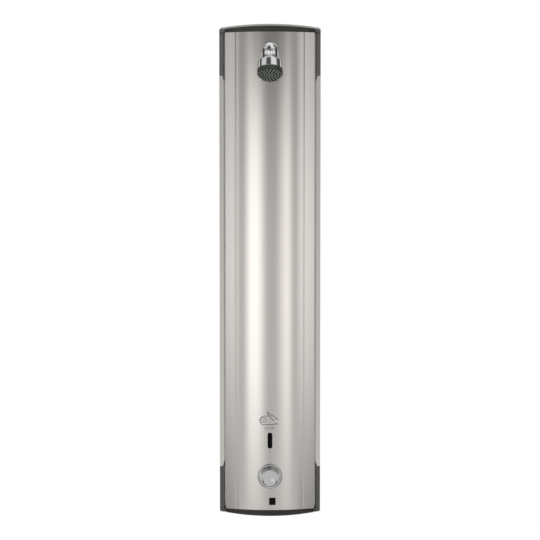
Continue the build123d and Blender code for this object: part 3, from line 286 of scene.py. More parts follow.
def closed(name, mesh):
    """Object of a mesh with doubles merged and normals turned outwards."""
    work = bmesh.new()
    work.from_mesh(mesh)
    bmesh.ops.remove_doubles(work, verts=work.verts, dist=1e-6)
    bmesh.ops.dissolve_degenerate(work, edges=work.edges, dist=1e-7)
    bmesh.ops.recalc_face_normals(work, faces=work.faces)
    work.to_mesh(mesh)
    work.free()
    piece = bpy.data.objects.new(name, mesh)
    bpy.context.scene.collection.objects.link(piece)
    return piece


def cut(piece, others, operation="DIFFERENCE"):
    """Boolean of a piece with others, settled into its mesh; the others are used up."""
    for other in others:
        step = piece.modifiers.new("cut", "BOOLEAN")
        step.operation = operation
        step.solver = "EXACT"
        step.object = other
    view = bpy.context.evaluated_depsgraph_get()
    mesh = bpy.data.meshes.new_from_object(piece.evaluated_get(view))
    piece.modifiers.clear()
    piece.data = mesh
    for other in others:
        bpy.data.objects.remove(other)


def shade(piece, material, angle=28.0):
    """Smooth shading with sharp edges past an angle, and the piece's only material."""
    mesh = piece.data
    mesh.polygons.foreach_set("use_smooth", np.ones(len(mesh.polygons), bool))
    mesh.set_sharp_from_angle(angle=math.radians(angle))
    mesh.materials.clear()
    mesh.materials.append(material)


def around(centre, across, beyond, axis, profile, count):
    """Grid of a surface of revolution: each profile pair (radius, height) goes round the axis as
    centre + radius * (cos a * across + sin a * beyond) + height * axis."""
    profile = np.asarray(profile, float)
    angle = np.linspace(0, 2 * np.pi, count, endpoint=False)
    ring = np.cos(angle)[:, None] * np.asarray(across) + np.sin(angle)[:, None] * np.asarray(beyond)
    radial = profile[:, 0][:, None, None] * ring[None]
    return np.asarray(centre) + radial + profile[:, 1][:, None, None] * np.asarray(axis)


def along_y(x, z, profile, count=96):
    """Revolution about a line along Y; the profile's heights are y values."""
    return around((x, 0, z), (1, 0, 0), (0, 0, 1), (0, 1, 0), profile, count)


def upright(y, profile, count=96):
    """Revolution about an upright line in the middle plane; the profile's heights are z values."""
    return around((0, y, 0), (1, 0, 0), (0, 1, 0), (0, 0, 1), profile, count)


def corner_arc(radius, height, size, first, last, steps=7):
    """Arc of a profile in degrees, from radial outwards towards the axis direction."""
    turn = np.radians(np.linspace(first, last, steps))
    return list(zip(radius + size * np.cos(turn), height + size * np.sin(turn)))


def stadium(width, length, count=48):
    """Round-ended outline: half circles of the width, moved up and down to reach the length."""
    angle = np.linspace(0, 2 * np.pi, count, endpoint=False) + np.pi / count
    lift = np.sign(np.sin(angle)) * (length - width) / 2
    return np.cos(angle) * width / 2, np.sin(angle) * width / 2 + lift


def cover_outline():
    """Closed section of the cover: outer skin from the middle to the foot, flange, inner skin back."""
    front = np.linspace(0, crease_x, 60)
    outer = np.stack([front, crown(front)], axis=1)
    slope = (wing_y - crease_y) / (cover_half - crease_x)
    groove_end = crease_x + groove_width
    groove_floor = crease_y + groove_depth
    wing_start = crease_y + slope * groove_width
    share = np.linspace(0, 1, 9)[:-1]
    bulge = 4 * wing_bulge * share * (1 - share)
    wing_x = groove_end + share * (cover_half - edge_break - groove_end)
    wing_depth = wing_start + share * (wing_y - edge_ease - wing_start) - bulge
    rest = [
        (crease_x, groove_floor),
        (groove_end, groove_floor),
        *zip(wing_x, wing_depth),
        (cover_half - edge_break, wing_y - edge_ease),
        (cover_half - edge_ease, wing_y + edge_ease),
        (cover_half, wing_y + edge_break),
        (cover_half, lip_y),
        (cover_half - flange_reach, lip_y),
        (cover_half - flange_reach, lip_y - cover_wall),
        (cover_half - cover_wall, lip_y - cover_wall),
        (cover_half - cover_wall, wing_y + cover_wall),
    ]
    back = np.linspace(crease_x, 0, 40)
    inner = np.stack([back, crown(back, cover_wall)], axis=1)
    half = np.concatenate([outer, np.array(rest), inner])
    other = half[1:-1][::-1] * (-1, 1)
    return np.concatenate([half, other])


def make_cover():
    """The closed section carried straight up between the cover's two ends, with three holes cut."""
    section = cover_outline()
    heights = np.array([cover_low.z, cover_high.z])
    points = np.empty((2, len(section), 3))
    points[:, :, 0] = section[:, 0]
    points[:, :, 1] = section[:, 1]
    points[:, :, 2] = heights[:, None]
    piece = lofted("cover_shell", points)
    slot_x, slot_z = stadium(*window_hole_size)
    slot = np.empty((2, len(slot_x), 3))
    slot[:, :, 0] = slot_x
    slot[:, :, 1] = np.array(punch_depths)[:, None]
    slot[:, :, 2] = slot_z + window_z
    round_holes = (("head_hole", head_z, head_hole_radius), ("knob_hole", knob_z, knob_hole_radius))
    punches = [
        lofted(name, along_y(0, z, [(radius, depth) for depth in punch_depths], 64))
        for name, z, radius in round_holes
    ]
    cut(piece, [*punches, lofted("window_hole", slot)])
    return piece


cover_aluminium = finish(
    "cover_aluminium", ((0.82, 0.79, 0.765), (0.87, 0.84, 0.815)), (0.11, 0.18), 1.0,
    drawn_lines, {"Across": 2500.0, "Along": 7.0, "Cloud": 10.0}, bump=0.000002,
)
cover_shell = make_cover()
shade(cover_shell, cover_aluminium, 20.0)
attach(cover_shell, "panel")
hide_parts("front_cover")

# End caps
# Dark moulded plastic with a crowned top and a leg down each side rail.
# Each is held by four screws in the ports of the chassis.
leg_inner_x = 0.1035
leg_front_y = -0.060


def smooth_copy(name, node, flatness):
    """A CAD node's mesh with its loose triangles merged, and faces within some degrees joined."""
    mesh = nodes[node].data.copy()
    mesh.name = name
    piece = closed(name, mesh)
    work = bmesh.new()
    work.from_mesh(mesh)
    bmesh.ops.dissolve_limit(work, angle_limit=math.radians(flatness), verts=work.verts, edges=work.edges)
    work.to_mesh(mesh)
    work.free()
    return piece


# The darker tone of the cap front is painted shade; legs, bevel and front are one plastic.
shaded_cap_plastic = finish(
    "shaded_cap_plastic", ((0.028, 0.0275, 0.026), (0.038, 0.037, 0.035)), (0.36, 0.48), 0.0,
    fine_speckle, {"Grain": 2400.0, "Cloud": 15.0}, bump=0.00002, specular=0.28,
)
# Paler copy of the cap plastic for the legs and the top bevel: its lighter tone is painted light, its coarser
# grain is real.
lit_cap_plastic = finish(
    "lit_cap_plastic", ((0.085, 0.083, 0.079), (0.108, 0.105, 0.100)), (0.45, 0.58), 0.0,
    fine_speckle, {"Grain": 1600.0, "Cloud": 15.0}, bump=0.00004, specular=0.35,
)


def grain_and_painted_light_zones(piece):
    """Coarser grain and a paler tone on the legs and the top bevel, the paler tone as painted light; the
    crowned front keeps the fine grain in a darker tone that is painted shade.
    """
    mesh = piece.data
    mesh.materials.append(lit_cap_plastic)
    for face in mesh.polygons:
        leg = abs(face.center.x) > leg_inner_x and face.center.y > leg_front_y
        bevel = face.normal.y < -0.3 and abs(face.normal.z) > 0.35 and face.center.z > 0
        face.material_index = int(leg or bevel)


for cap in ("top_cap", "bottom_cap"):
    moulding = smooth_copy(cap + "_moulding", cap, 0.3)
    shade(moulding, shaded_cap_plastic, 25.0)
    grain_and_painted_light_zones(moulding)
    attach(moulding, "panel")
    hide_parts(cap)
dress(zinc_steel, "cap_screws")

# Sensor window
# Black infrared glass pushed through a slot in the cover and glued to the sensor box.
# Its face is polished and its edge slightly rounded.
window_width = 0.011
window_length = 0.037
window_rim = 0.002
window_back = -0.0750
window_rim_front = -0.0771


def make_wiped_film():
    """Faint smears of a wiped gloss surface: stretched soft noise."""
    group, entry, leave, place = new_group("wiped_film", {"Film": 60.0, "Dust": 900.0}, ("Mask", "Height"))
    film, dust = entry.outputs["Film"], entry.outputs["Dust"]
    smears = stretched_noise(group, place, (film, film, film), 4.0)
    specks = stretched_noise(group, place, (dust, dust, dust), 1.0)
    group.links.new(smears, leave.inputs["Mask"])
    group.links.new(specks, leave.inputs["Height"])
    return group


def make_window():
    """Rows of stadium outlines, each a set-in and a depth, from the rim behind to the crowned face."""
    steps = [
        (-window_rim, window_back), (-window_rim, window_rim_front), (0.0, window_rim_front),
        (0.0, -0.0801), (0.0001, -0.0803),
        (0.0003, -0.08045), (0.0008, -0.0805), (0.0030, -0.08053), (0.0055, -0.08054),
    ]
    points = np.empty((len(steps), 48, 3))
    for row, (inset, depth) in enumerate(steps):
        outline = stadium(window_width - 2 * inset, window_length - 2 * inset)
        points[row, :, 0], points[row, :, 2] = outline
        points[row, :, 1] = depth
    points[:, :, 2] += window_z
    return lofted("window_glass", points)


wiped_film = make_wiped_film()
window_glass_finish = finish(
    "window_glass_finish", ((0.0015, 0.0015, 0.002), (0.003, 0.003, 0.004)), (0.06, 0.14), 0.0,
    wiped_film, {"Film": 90.0, "Dust": 1200.0}, bump=0.0000005, specular=0.12,
)
window_glass = make_window()
shade(window_glass, window_glass_finish)
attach(window_glass, "panel")
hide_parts("sensor_window")
dress(window_glass_finish, "sensor_eyes")

# Hand sign and words
# Thin dark lines printed on the anodised cover above the window: a hand held out, and ON OFF.
# The ink is a tenth of a millimetre thick and follows the crown.
ink_height = 0.0001
hand_centre = (-0.0012, -0.3425)
hand_scale = 0.0011
hand_line_width = 0.0013
words_height = 0.0060
words_spot = (-0.0012, -0.3625)


def smooth_path(corners, steps=10):
    """Points of a curve through the corners: each span is a cubic blend of four neighbours."""
    corners = np.asarray(corners, float)
    ends = np.concatenate([[2 * corners[0] - corners[1]], corners, [2 * corners[-1] - corners[-2]]])
    t = np.linspace(0, 1, steps, endpoint=False)[:, None]
    spans = []
    for a, b, c, d in zip(ends[:-3], ends[1:-2], ends[2:-1], ends[3:]):
        spans.append(b + t * (c - a) / 2 + t**2 * (a - 2.5 * b + 2 * c - d / 2)
                     + t**3 * ((d - a) / 2 + 1.5 * (b - c)))
    return np.concatenate(spans + [corners[-1:]])


def ribbon(name, path, width):
    """Printed line on the crown: the path moved half a width to each side, with front and back faces."""
    run = np.gradient(path, axis=0)
    run /= np.linalg.norm(run, axis=1)[:, None]
    side = np.stack([-run[:, 1], run[:, 0]], axis=1) * width / 2
    left, right = path + side, path - side
    points = np.empty((len(path), 4, 3))
    edges = ((left, ink_height), (right, ink_height), (right, -ink_height), (left, -ink_height))
    for column, (edge, lift) in enumerate(edges):
        points[:, column, 0] = edge[:, 0]
        points[:, column, 1] = crown(edge[:, 0]) - lift
        points[:, column, 2] = edge[:, 1]
    return lofted(name, points)


def joined(name, pieces):
    """One object of several closed meshes."""
    work = bmesh.new()
    for piece in pieces:
        work.from_mesh(piece.data)
        bpy.data.objects.remove(piece)
    mesh = bpy.data.meshes.new(name)
    work.to_mesh(mesh)
    work.free()
    whole = bpy.data.objects.new(name, mesh)
    bpy.context.scene.collection.objects.link(whole)
    return whole


def make_hand():
    """A flat hand seen from its back, drawn as lines in millimetres from the sign's centre."""
    lines = [
        [(3.0, 12.5), (-0.5, 15.0), (-3.0, 18.0), (-4.8, 17.0), (-3.6, 13.6), (-0.6, 10.2),
         (3.2, 6.2), (5.0, 3.0), (7.6, 0.9), (10.5, 0.4)],
        [(3.0, 12.5), (8.5, 8.8), (14.5, 4.2), (19.5, 1.2)],
        [(0.5, 9.4), (-5.0, 9.3), (-12.0, 9.0), (-16.0, 7.2), (-19.5, 3.2), (-20.4, 0.0), (-19.0, -4.2),
         (-16.0, -8.2), (-12.0, -8.8), (-4.0, -9.0), (5.0, -9.0), (10.0, -8.2), (13.5, -6.6),
         (17.8, -8.6)],
        [(-17.5, 5.4), (-12.0, 5.4), (-6.2, 5.2)],
        [(-19.6, 1.1), (-12.0, 1.1), (-6.0, 1.0)],
        [(-18.9, -3.4), (-12.0, -3.4), (-5.4, -3.4)],
    ]
    centre = np.array(hand_centre)
    paths = [smooth_path(line) * hand_scale + centre for line in lines]
    return joined("hand_sign", [ribbon("hand_line", path, hand_line_width) for path in paths])


def make_words(text, height, centre_x, base_z):
    """Letters made a mesh, then laid on the crown: x and height stay, depth follows the crown."""
    curve = bpy.data.curves.new("letters", "FONT")
    curve.body = text
    curve.size = height
    curve.align_x = "CENTER"
    curve.extrude = ink_height
    letters = bpy.data.objects.new("letters", curve)
    bpy.context.scene.collection.objects.link(letters)
    view = bpy.context.evaluated_depsgraph_get()
    mesh = bpy.data.meshes.new_from_object(letters.evaluated_get(view))
    bpy.data.objects.remove(letters)
    flat = np.empty(len(mesh.vertices) * 3, np.float32)
    mesh.vertices.foreach_get("co", flat)
    flat = flat.reshape(-1, 3)
    x = flat[:, 0] + centre_x
    laid = np.stack([x, crown(x) - flat[:, 2], flat[:, 1] + base_z], axis=1)
    mesh.vertices.foreach_set("co", laid.astype(np.float32).ravel())
    return closed("sign_words", mesh)


printing_ink = finish(
    "printing_ink", ((0.008, 0.008, 0.0075), (0.014, 0.0135, 0.013)), (0.5, 0.65), 0.0,
    fine_speckle, {"Grain": 3000.0, "Cloud": 300.0}, bump=0.000002,
)
for sign in (make_hand(), make_words("ON  OFF", words_height, *words_spot)):
    shade(sign, printing_ink)
    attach(sign, "panel")

# Scale ring
# Chromed ring fixed to the cover round the knob, with the temperature scale on its face.
# Its back is shaped to the crown and its rim is bevelled.
ring_radius = 0.0284
ring_bore = 0.010
ring_round = 0.0016
ring_front = -0.085
tick_inner = 0.0256
tick_inner_long = 0.0249
tick_outer = 0.0266
tick_half_width = 0.00022


def make_ring():
    """Revolution of the ring's section; the back row takes its depth from the crown."""
    profile = [
        (ring_bore, -0.0800), (ring_radius, -0.0800), (ring_radius, -0.0832),
        *corner_arc(ring_radius - ring_round, ring_front + ring_round, ring_round, 0, -90),
        (ring_bore, ring_front),
    ]
    points = along_y(0, knob_z, profile, 128)
    points[:2, :, 1] = crown(points[:2, :, 0]) - 0.00005
    return lofted("scale_bezel", points, wrap_rows=True)


chrome_plate = finish(
    "chrome_plate", ((0.82, 0.83, 0.84), (0.87, 0.875, 0.88)), (0.015, 0.04), 1.0,
    wiped_film, {"Film": 45.0, "Dust": 700.0}, bump=0.00000004,
)
satin_chrome = finish(
    "satin_chrome", ((0.42, 0.42, 0.415), (0.80, 0.80, 0.795)), (0.12, 0.30), 1.0,
    fine_speckle, {"Grain": 900.0, "Cloud": 420.0}, bump=0.000008,
)
scale_bezel = make_ring()
shade(scale_bezel, satin_chrome)
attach(scale_bezel, "panel")
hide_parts("scale_ring")


def make_ticks():
    """Raised radial ticks every nine degrees over three quarters of the ring, longer at each fifth."""
    front, back = ring_front - 0.00008, ring_front + 0.0001
    corners = ((-1, front), (1, front), (1, back), (-1, back))
    ticks = []
    for step in range(31):
        angle = math.radians(-45 + 9 * step)
        inner = tick_inner_long if step % 5 == 0 else tick_inner
        out = np.array([math.cos(angle), math.sin(angle)])
        side = np.array([-out[1], out[0]]) * tick_half_width
        points = np.empty((2, 4, 3))
        for row, radius in enumerate((inner, tick_outer)):
            for column, (turn, y) in enumerate(corners):
                spot = out * radius + side * turn
                points[row, column] = (spot[0], y, knob_z + spot[1])
        ticks.append(lofted("tick", points))
    return joined("scale_ticks", ticks)


scale_ticks = make_ticks()
shade(scale_ticks, printing_ink)
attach(scale_ticks, "panel")

# Temperature knob
# Tapered chromed knob with a polished flat face, pulled on the spindle by a hidden screw.
# A small chromed plug covers the screw; a dark line on the knob's top side points at the scale.
knob_back = -0.0855
knob_front = -0.1125
knob_foot_radius = 0.0239
knob_face_radius = 0.0212
knob_round = 0.0007
foot_inside_radius = 0.0215
wall_inside_radius = 0.0184
face_inside_y = -0.1100
hub_radius = 0.0085
spindle_bore_radius = 0.0051
spindle_stop_y = -0.1041
screw_bore_radius = 0.0023
screw_seat_y = -0.1070
plug_bore_radius = 0.0040
plug_radius = 0.00396
plug_back = -0.1099
pointer_half_width = 0.0021
taper_end_radius = 0.0213
taper_stop = 0.0024


def make_knob():
    """Revolution of the knob's closed section: tapered side, rounded front edge, face, bores and hub."""
    profile = [
        (foot_inside_radius, knob_back), (0.0236, knob_back), (knob_foot_radius, knob_back - 0.0003),
        (knob_face_radius, knob_front + 0.0008),
        *corner_arc(0.0205, knob_front + knob_round, knob_round, -8, -90, 7),
        (0.0203, knob_front), (0.0195, knob_front), (0.0046, knob_front),
        (plug_bore_radius, knob_front + 0.0001), (plug_bore_radius, screw_seat_y),
        (screw_bore_radius, screw_seat_y), (screw_bore_radius, spindle_stop_y),
        (spindle_bore_radius, spindle_stop_y), (spindle_bore_radius, knob_back),
        (hub_radius, knob_back), (hub_radius, face_inside_y), (wall_inside_radius, face_inside_y),
    ]
    return lofted("knob_shell", along_y(0, knob_z, profile, 128), wrap_rows=True)


def make_plug():
    """Revolution of a flat plug; its face lies level with the knob's."""
    profile = [
        (0.0, plug_back), (plug_radius, plug_back), (plug_radius, knob_front), (0.0035, knob_front),
        (0.0, knob_front),
    ]
    return lofted("knob_plug", along_y(0, knob_z, profile, 64), caps=False)


def make_pointer():
    """Dark line on the knob's top side: a strip of the taper between two depths, lifted a little."""
    depth = np.linspace(knob_back - 0.0008, knob_back - 0.015, 12)
    taper_length = knob_back - knob_front - taper_stop
    radius = knob_foot_radius - (knob_back - depth) * (knob_foot_radius - taper_end_radius) / taper_length
    points = np.empty((12, 4, 3))
    for column, (side, lift) in enumerate(((-1, ink_height), (1, ink_height), (1, -0.0002), (-1, -0.0002))):
        turn = side * pointer_half_width / radius
        points[:, column, 0] = (radius + lift) * np.sin(turn)
        points[:, column, 1] = depth
        points[:, column, 2] = knob_z + (radius + lift) * np.cos(turn)
    return lofted("knob_pointer", points)


for piece, material, stands_for, slot_name in (
    (make_knob(), chrome_plate, "temperature_knob", "chrome"),
    (make_plug(), chrome_plate, "knob_face_plug", "chrome"),
    (make_pointer(), printing_ink, None, "window_black"),
):
    shade(piece, material)
    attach(piece, "knob")
    if stands_for:
        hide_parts(stands_for)

# Blank plate
# Small plain gloss plastic plate in the lower part of the cover, without any mark.
# It is moulded with a soft edge and glued in place.
blank_x = 0.0055
blank_z = -0.530
blank_half_width = 0.0075
blank_half_height = 0.0085
blank_corner = 0.002


def rounded_box(half_x, half_z, corner, steps=8):
    """Outline of a box with quarter-circle corners, anticlockwise seen from the front."""
    turn = np.linspace(0, np.pi / 2, steps)
    x, z = [], []
    for quarter, (sx, sz) in enumerate(((1, 1), (-1, 1), (-1, -1), (1, -1))):
        angle = turn + quarter * np.pi / 2
        x.append(sx * (half_x - corner) + corner * np.cos(angle))
        z.append(sz * (half_z - corner) + corner * np.sin(angle))
    return np.concatenate(x), np.concatenate(z)


def make_blank():
    """Rows of rounded boxes: the back on the crown, a straight side, a soft edge and the flat face."""
    steps = ((0.0, None), (0.0, -0.0804), (0.0001, -0.0806), (0.0003, -0.0807), (0.0020, -0.0807))
    points = np.empty((len(steps), 32, 3))
    for row, (inset, depth) in enumerate(steps):
        corner = max(blank_corner - inset, 0.0001)
        x, z = rounded_box(blank_half_width - inset, blank_half_height - inset, corner)
        points[row, :, 0] = x + blank_x
        points[row, :, 2] = z + blank_z
        points[row, :, 1] = crown(x + blank_x) - 0.00002 if depth is None else depth
    return lofted("blank_badge", points)


gloss_plastic = finish(
    "gloss_plastic", ((0.002, 0.002, 0.002), (0.004, 0.004, 0.004)), (0.12, 0.2), 0.0,
    wiped_film, {"Film": 200.0, "Dust": 1500.0}, bump=0.000001, specular=0.13,
)
blank_badge = make_blank()
shade(blank_badge, gloss_plastic)
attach(blank_badge, "panel")
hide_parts("blank_plate")

# Head gasket
# Soft black rubber ring between the cover and the elbow's flange.
# It is squeezed flat as the nut behind the cover draws the elbow up.
gasket_bore = 0.0126
gasket_radius = 0.0208
gasket_front = -0.0816


def make_gasket():
    """Revolution of a flat ring with a rounded rim; its back rows take their depth from the crown."""
    profile = [
        (gasket_bore, -0.080), (0.0206, -0.080), (gasket_radius, -0.0803), (gasket_radius, -0.0812),
        (0.0205, gasket_front), (gasket_bore, gasket_front),
    ]
    points = along_y(0, head_z, profile, 96)
    points[:2, :, 1] = crown(points[:2, :, 0]) - 0.00005
    points[2, :, 1] = crown(points[2, :, 0]) - 0.0003
    return lofted("gasket_ring", points, wrap_rows=True)


gasket_ring = make_gasket()
shade(gasket_ring, fibre_and_rubber)
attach(gasket_ring, "panel")
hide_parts("head_elbow_gasket")

# Head elbow
# Cast brass elbow, polished and chromed: a flange on the gasket, a short arm and a domed corner.
# Its tail goes through the cover and is clamped to the bracket behind.
elbow_y = -0.112
elbow_radius = 0.020
rim_z = 0.4845
arm_radius = 0.0135
tail_radius = 0.0125
tail_back = -0.0479
flange_front = -0.0856
flange_edge = -0.0843
flange_round = 0.0013
root_round = 0.002
water_bore = 0.008
seat_radius = 0.0121


def make_elbow():
    """Two revolutions joined: the domed upright corner, and the arm with flange and tail; then bored."""
    dome = corner_arc(0, head_z, elbow_radius, 0, 90, 28)
    corner = lofted("corner", upright(elbow_y, [
        (0.0, rim_z), (elbow_radius - 0.0006, rim_z), (elbow_radius - 0.0002, rim_z + 0.0002),
        (elbow_radius, rim_z + 0.0006), *dome,
    ]), caps=False)
    root = [
        (
            arm_radius + root_round - root_round * math.sin(turn),
            flange_front - root_round + root_round * math.cos(turn),
        )
        for turn in np.linspace(0, math.pi / 2, 6)
    ]
    arm = lofted("arm", along_y(0, head_z, [
        (0.0, tail_back), (tail_radius, tail_back), (tail_radius, gasket_front), (elbow_radius, gasket_front),
        (elbow_radius, flange_edge),
        *corner_arc(elbow_radius - flange_round, flange_edge, flange_round, 0, -90, 6),
        *root, (arm_radius, elbow_y), (0.0, elbow_y),
    ]), caps=False)
    cut(corner, [arm], "UNION")
    cut(corner, [
        lofted("arm_bore", along_y(0, head_z, [(water_bore, -0.04), (water_bore, elbow_y)], 48)),
        lofted("mouth_bore", upright(elbow_y, [(water_bore, rim_z - 0.001), (water_bore, head_z)], 48)),
        lofted("spigot_seat", upright(elbow_y, [
            (seat_radius, rim_z - 0.001), (seat_radius, rim_z + 0.008),
        ], 64)),
    ])
    return corner


elbow_casting = make_elbow()
elbow_casting.name = "elbow_casting"
shade(elbow_casting, chrome_plate)
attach(elbow_casting, "panel")
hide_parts("head_elbow")
dress(bare_brass, "head_swivel_spigot")
dress(zinc_steel, "head_swivel_clip")
dress(fibre_and_rubber, "head_swivel_seals")

# Shower head bell
# Chromed brass bell: an upright neck that turns on the spigot, and a round body tilted to the front.
# It is cast in one, polished and plated; a spring clip inside holds it up on the spigot.
tilt = math.radians(23.0)
spray_origin = (0.0, elbow_y, 0.4745)
spray_axis = (0.0, -math.sin(tilt), -math.cos(tilt))
spray_across = (1.0, 0.0, 0.0)
spray_beyond = (0.0, math.cos(tilt), -math.sin(tilt))
bell_radius = 0.029
bell_length = 0.0215
bell_round = 0.004
neck_radius = 0.0215
neck_foot_z = 0.4685
neck_top_z = 0.4842
neck_edge = 0.0004
chamber_radius = 0.026
spigot_bore = 0.01208
clip_room = 0.0155


def along_spray(profile, count=96):
    """Revolution about the spray axis; heights are distances from the bell's top centre."""
    return around(spray_origin, spray_across, spray_beyond, spray_axis, profile, count)


def make_bell():
    """Tilted body and upright neck joined, then bored for spigot, clip and water chamber."""
    body = lofted("bell_shell", along_spray([
        (0.0, 0.0), (bell_radius - bell_round, 0.0),
        *corner_arc(bell_radius - bell_round, bell_round, bell_round, -84, 0, 10),
        (bell_radius, bell_length - 0.0003), (bell_radius - 0.0003, bell_length), (0.0, bell_length),
    ], 128), caps=False)
    neck = lofted("neck", upright(elbow_y, [
        (0.0, neck_foot_z), (neck_radius, neck_foot_z), (neck_radius, neck_top_z - neck_edge),
        (neck_radius - neck_edge, neck_top_z), (0.0, neck_top_z),
    ]), caps=False)
    cut(body, [neck], "UNION")
    cut(body, [
        lofted("chamber", along_spray([
            (chamber_radius, bell_length - 0.0045), (chamber_radius, bell_length + 0.001),
        ])),
        lofted("spigot_bore", upright(elbow_y, [(spigot_bore, 0.4640), (spigot_bore, 0.4860)], 64)),
        lofted("clip_room", upright(elbow_y, [(clip_room, 0.4585), (clip_room, 0.4687)], 64)),
    ])
    return body


bell_shell = make_bell()
shade(bell_shell, chrome_plate)
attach(bell_shell, "head")
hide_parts("head_bell")

# Nozzle plate
# Dark grey-green rubbery plate clipped in the bell's mouth, with five rings of soft nozzles.
# The nozzles are moulded in one with it and rub clean.
plate_face = bell_length + 0.011
nozzle_rings = ((0.0, 1), (0.0065, 6), (0.013, 11), (0.0193, 16), (0.0256, 21))


def make_plate():
    """Revolution of the skirted disc with a rounded front edge."""
    radius = bell_radius - 0.0004
    wall = 0.003
    edge = 0.0012
    return lofted("spray_plate", along_spray([
        (0.0, plate_face - wall), (radius - wall, plate_face - wall), (radius - wall, bell_length),
        (radius, bell_length), (radius, plate_face - edge),
        *corner_arc(radius - edge, plate_face - edge, edge, 0, 90, 7), (0.0, plate_face),
    ], 128), caps=False)


def make_nozzles():
    """One small revolution with a dimpled tip, repeated on the rings by adding each ring place."""
    spots = []
    for radius, count in nozzle_rings:
        turn = 2 * np.pi * np.arange(count) / count
        spots.append(np.stack([radius * np.cos(turn), radius * np.sin(turn)], axis=1))
    spots = np.concatenate(spots)
    places = spots[:, :1] * np.asarray(spray_across) + spots[:, 1:] * np.asarray(spray_beyond)
    single = along_spray([
        (0.0018, plate_face - 0.0004), (0.0018, plate_face + 0.0003), (0.0016, plate_face + 0.0010),
        (0.0013, plate_face + 0.0013), (0.0010, plate_face + 0.0014), (0.0006, plate_face + 0.0012),
        (0.0005, plate_face + 0.0004),
    ], 14)
    nozzles = [lofted("nozzle", single + place) for place in places]
    return joined("spray_nozzles", nozzles)


plate_rubber = finish(
    "plate_rubber", ((0.016, 0.019, 0.015), (0.024, 0.028, 0.022)), (0.45, 0.6), 0.0,
    fine_speckle, {"Grain": 1200.0, "Cloud": 150.0}, bump=0.00002,
)
nozzle_rubber = finish(
    "nozzle_rubber", ((0.26, 0.31, 0.25), (0.36, 0.42, 0.34)), (0.35, 0.5), 0.0,
    fine_speckle, {"Grain": 1500.0, "Cloud": 260.0}, bump=0.00002,
)
spray_plate = make_plate()
spray_nozzles = make_nozzles()
for piece, material in ((spray_plate, plate_rubber), (spray_nozzles, nozzle_rubber)):
    shade(piece, material, 40.0)
    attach(piece, "head")
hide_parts("head_nozzle_plate")

# Floor
# Plain pale studio floor well below the panel; it fades to the white background at its rim.
# It belongs to the picture and not to the product.
floor_z = -1.6


def make_floor():
    """Disc of rings at floor height; its material turns to plain white with distance from the middle."""
    angle = np.linspace(0, 2 * np.pi, 64, endpoint=False)
    radius = np.array([0.0, 0.5, 1.0, 2.0, 3.4])
    points = np.empty((len(radius), len(angle), 3))
    points[:, :, 0] = radius[:, None] * np.cos(angle)
    points[:, :, 1] = radius[:, None] * np.sin(angle)
    points[:, :, 2] = floor_z
    floor = lofted("studio_floor", points, caps=False)
    material = bpy.data.materials.new("studio_floor")
    material.use_nodes = True
    tree = material.node_tree
    shader = tree.nodes["Principled BSDF"]
    shader.inputs["Base Color"].default_value = (0.82, 0.82, 0.81, 1.0)
    shader.inputs["Roughness"].default_value = 0.7
    glow = tree.nodes.new("ShaderNodeEmission")
    mix = tree.nodes.new("ShaderNodeMixShader")
    place = tree.nodes.new("ShaderNodeTexCoord")
    length = tree.nodes.new("ShaderNodeVectorMath")
    length.operation = "LENGTH"
    fade = tree.nodes.new("ShaderNodeMapRange")
    fade.interpolation_type = "SMOOTHSTEP"
    fade.inputs["From Min"].default_value = 1.9
    fade.inputs["From Max"].default_value = 3.4
    tree.links.new(place.outputs["Object"], length.inputs[0])
    tree.links.new(length.outputs["Value"], fade.inputs["Value"])
    tree.links.new(fade.outputs[0], mix.inputs[0])
    tree.links.new(shader.outputs[0], mix.inputs[1])
    tree.links.new(glow.outputs[0], mix.inputs[2])
    tree.links.new(mix.outputs[0], tree.nodes["Material Output"].inputs["Surface"])
    floor.data.materials.append(material)
    floor.visible_glossy = False
    return floor


make_floor()

# Studio light
# Two tall soft boxes left and right of the camera against grey walls, and a pale ceiling, as a world.
# One broad lamp from above adds soft shade; the background is plain white to the camera.
# Each light's sides and ends are four angles in degrees: where it starts, is full, starts to fade, is gone.
soft_box_ends = (-13.5, -5.0, 1.0, 8.0)
left_box_sides = (-30.0, -20.0, -15.0, -1.5)
left_box_strength = 0.82
left_box_colour = (1.0, 0.99, 0.97)
right_box_sides = (5.0, 19.0, 19.5, 26.0)
right_box_strength = 0.62
right_box_colour = (1.0, 0.955, 0.925)
bank_ends = (18.0, 28.0, 80.0, 88.0)
left_bank_sides = (-98.0, -88.0, -50.0, -40.0)
left_bank_strength = 0.56
right_bank_sides = (8.0, 20.0, 72.0, 80.0)
right_bank_strength = 0.66
lens_sides = (-23.0, -16.0, 14.0, 20.0)
lens_ends = (4.4, 5.2, 6.3, 7.2)
lens_darkness = 0.80
tripod_sides = (-2.4, -1.4, 1.4, 2.4)
tripod_ends = (-10.53, -10.48, -9.9, -9.6)
tripod_darkness = 0.97
wall_colour = (1.0, 0.995, 0.98)
side_wall_colour = (1.0, 0.99, 0.975)
behind_colour = (0.05, 0.05, 0.05)
plain_colour = (1.0, 1.0, 1.0)
world = bpy.data.worlds.new("studio")
bpy.context.scene.world = world
world.use_nodes = True
sky = world.node_tree


def maths(operation, *values):
    """Output of one Math node; each value is a number or another node's output."""
    step = sky.nodes.new("ShaderNodeMath")
    step.operation = operation
    for socket, value in zip(step.inputs, values):
        if isinstance(value, (int, float)):
            socket.default_value = value
        else:
            sky.links.new(value, socket)
    return step.outputs[0]


def ramp(value, start, end):
    """Smooth step from 0 at start to 1 at end."""
    step = sky.nodes.new("ShaderNodeMapRange")
    step.interpolation_type = "SMOOTHSTEP"
    step.inputs["From Min"].default_value = start
    step.inputs["From Max"].default_value = end
    sky.links.new(value, step.inputs["Value"])
    return step.outputs[0]


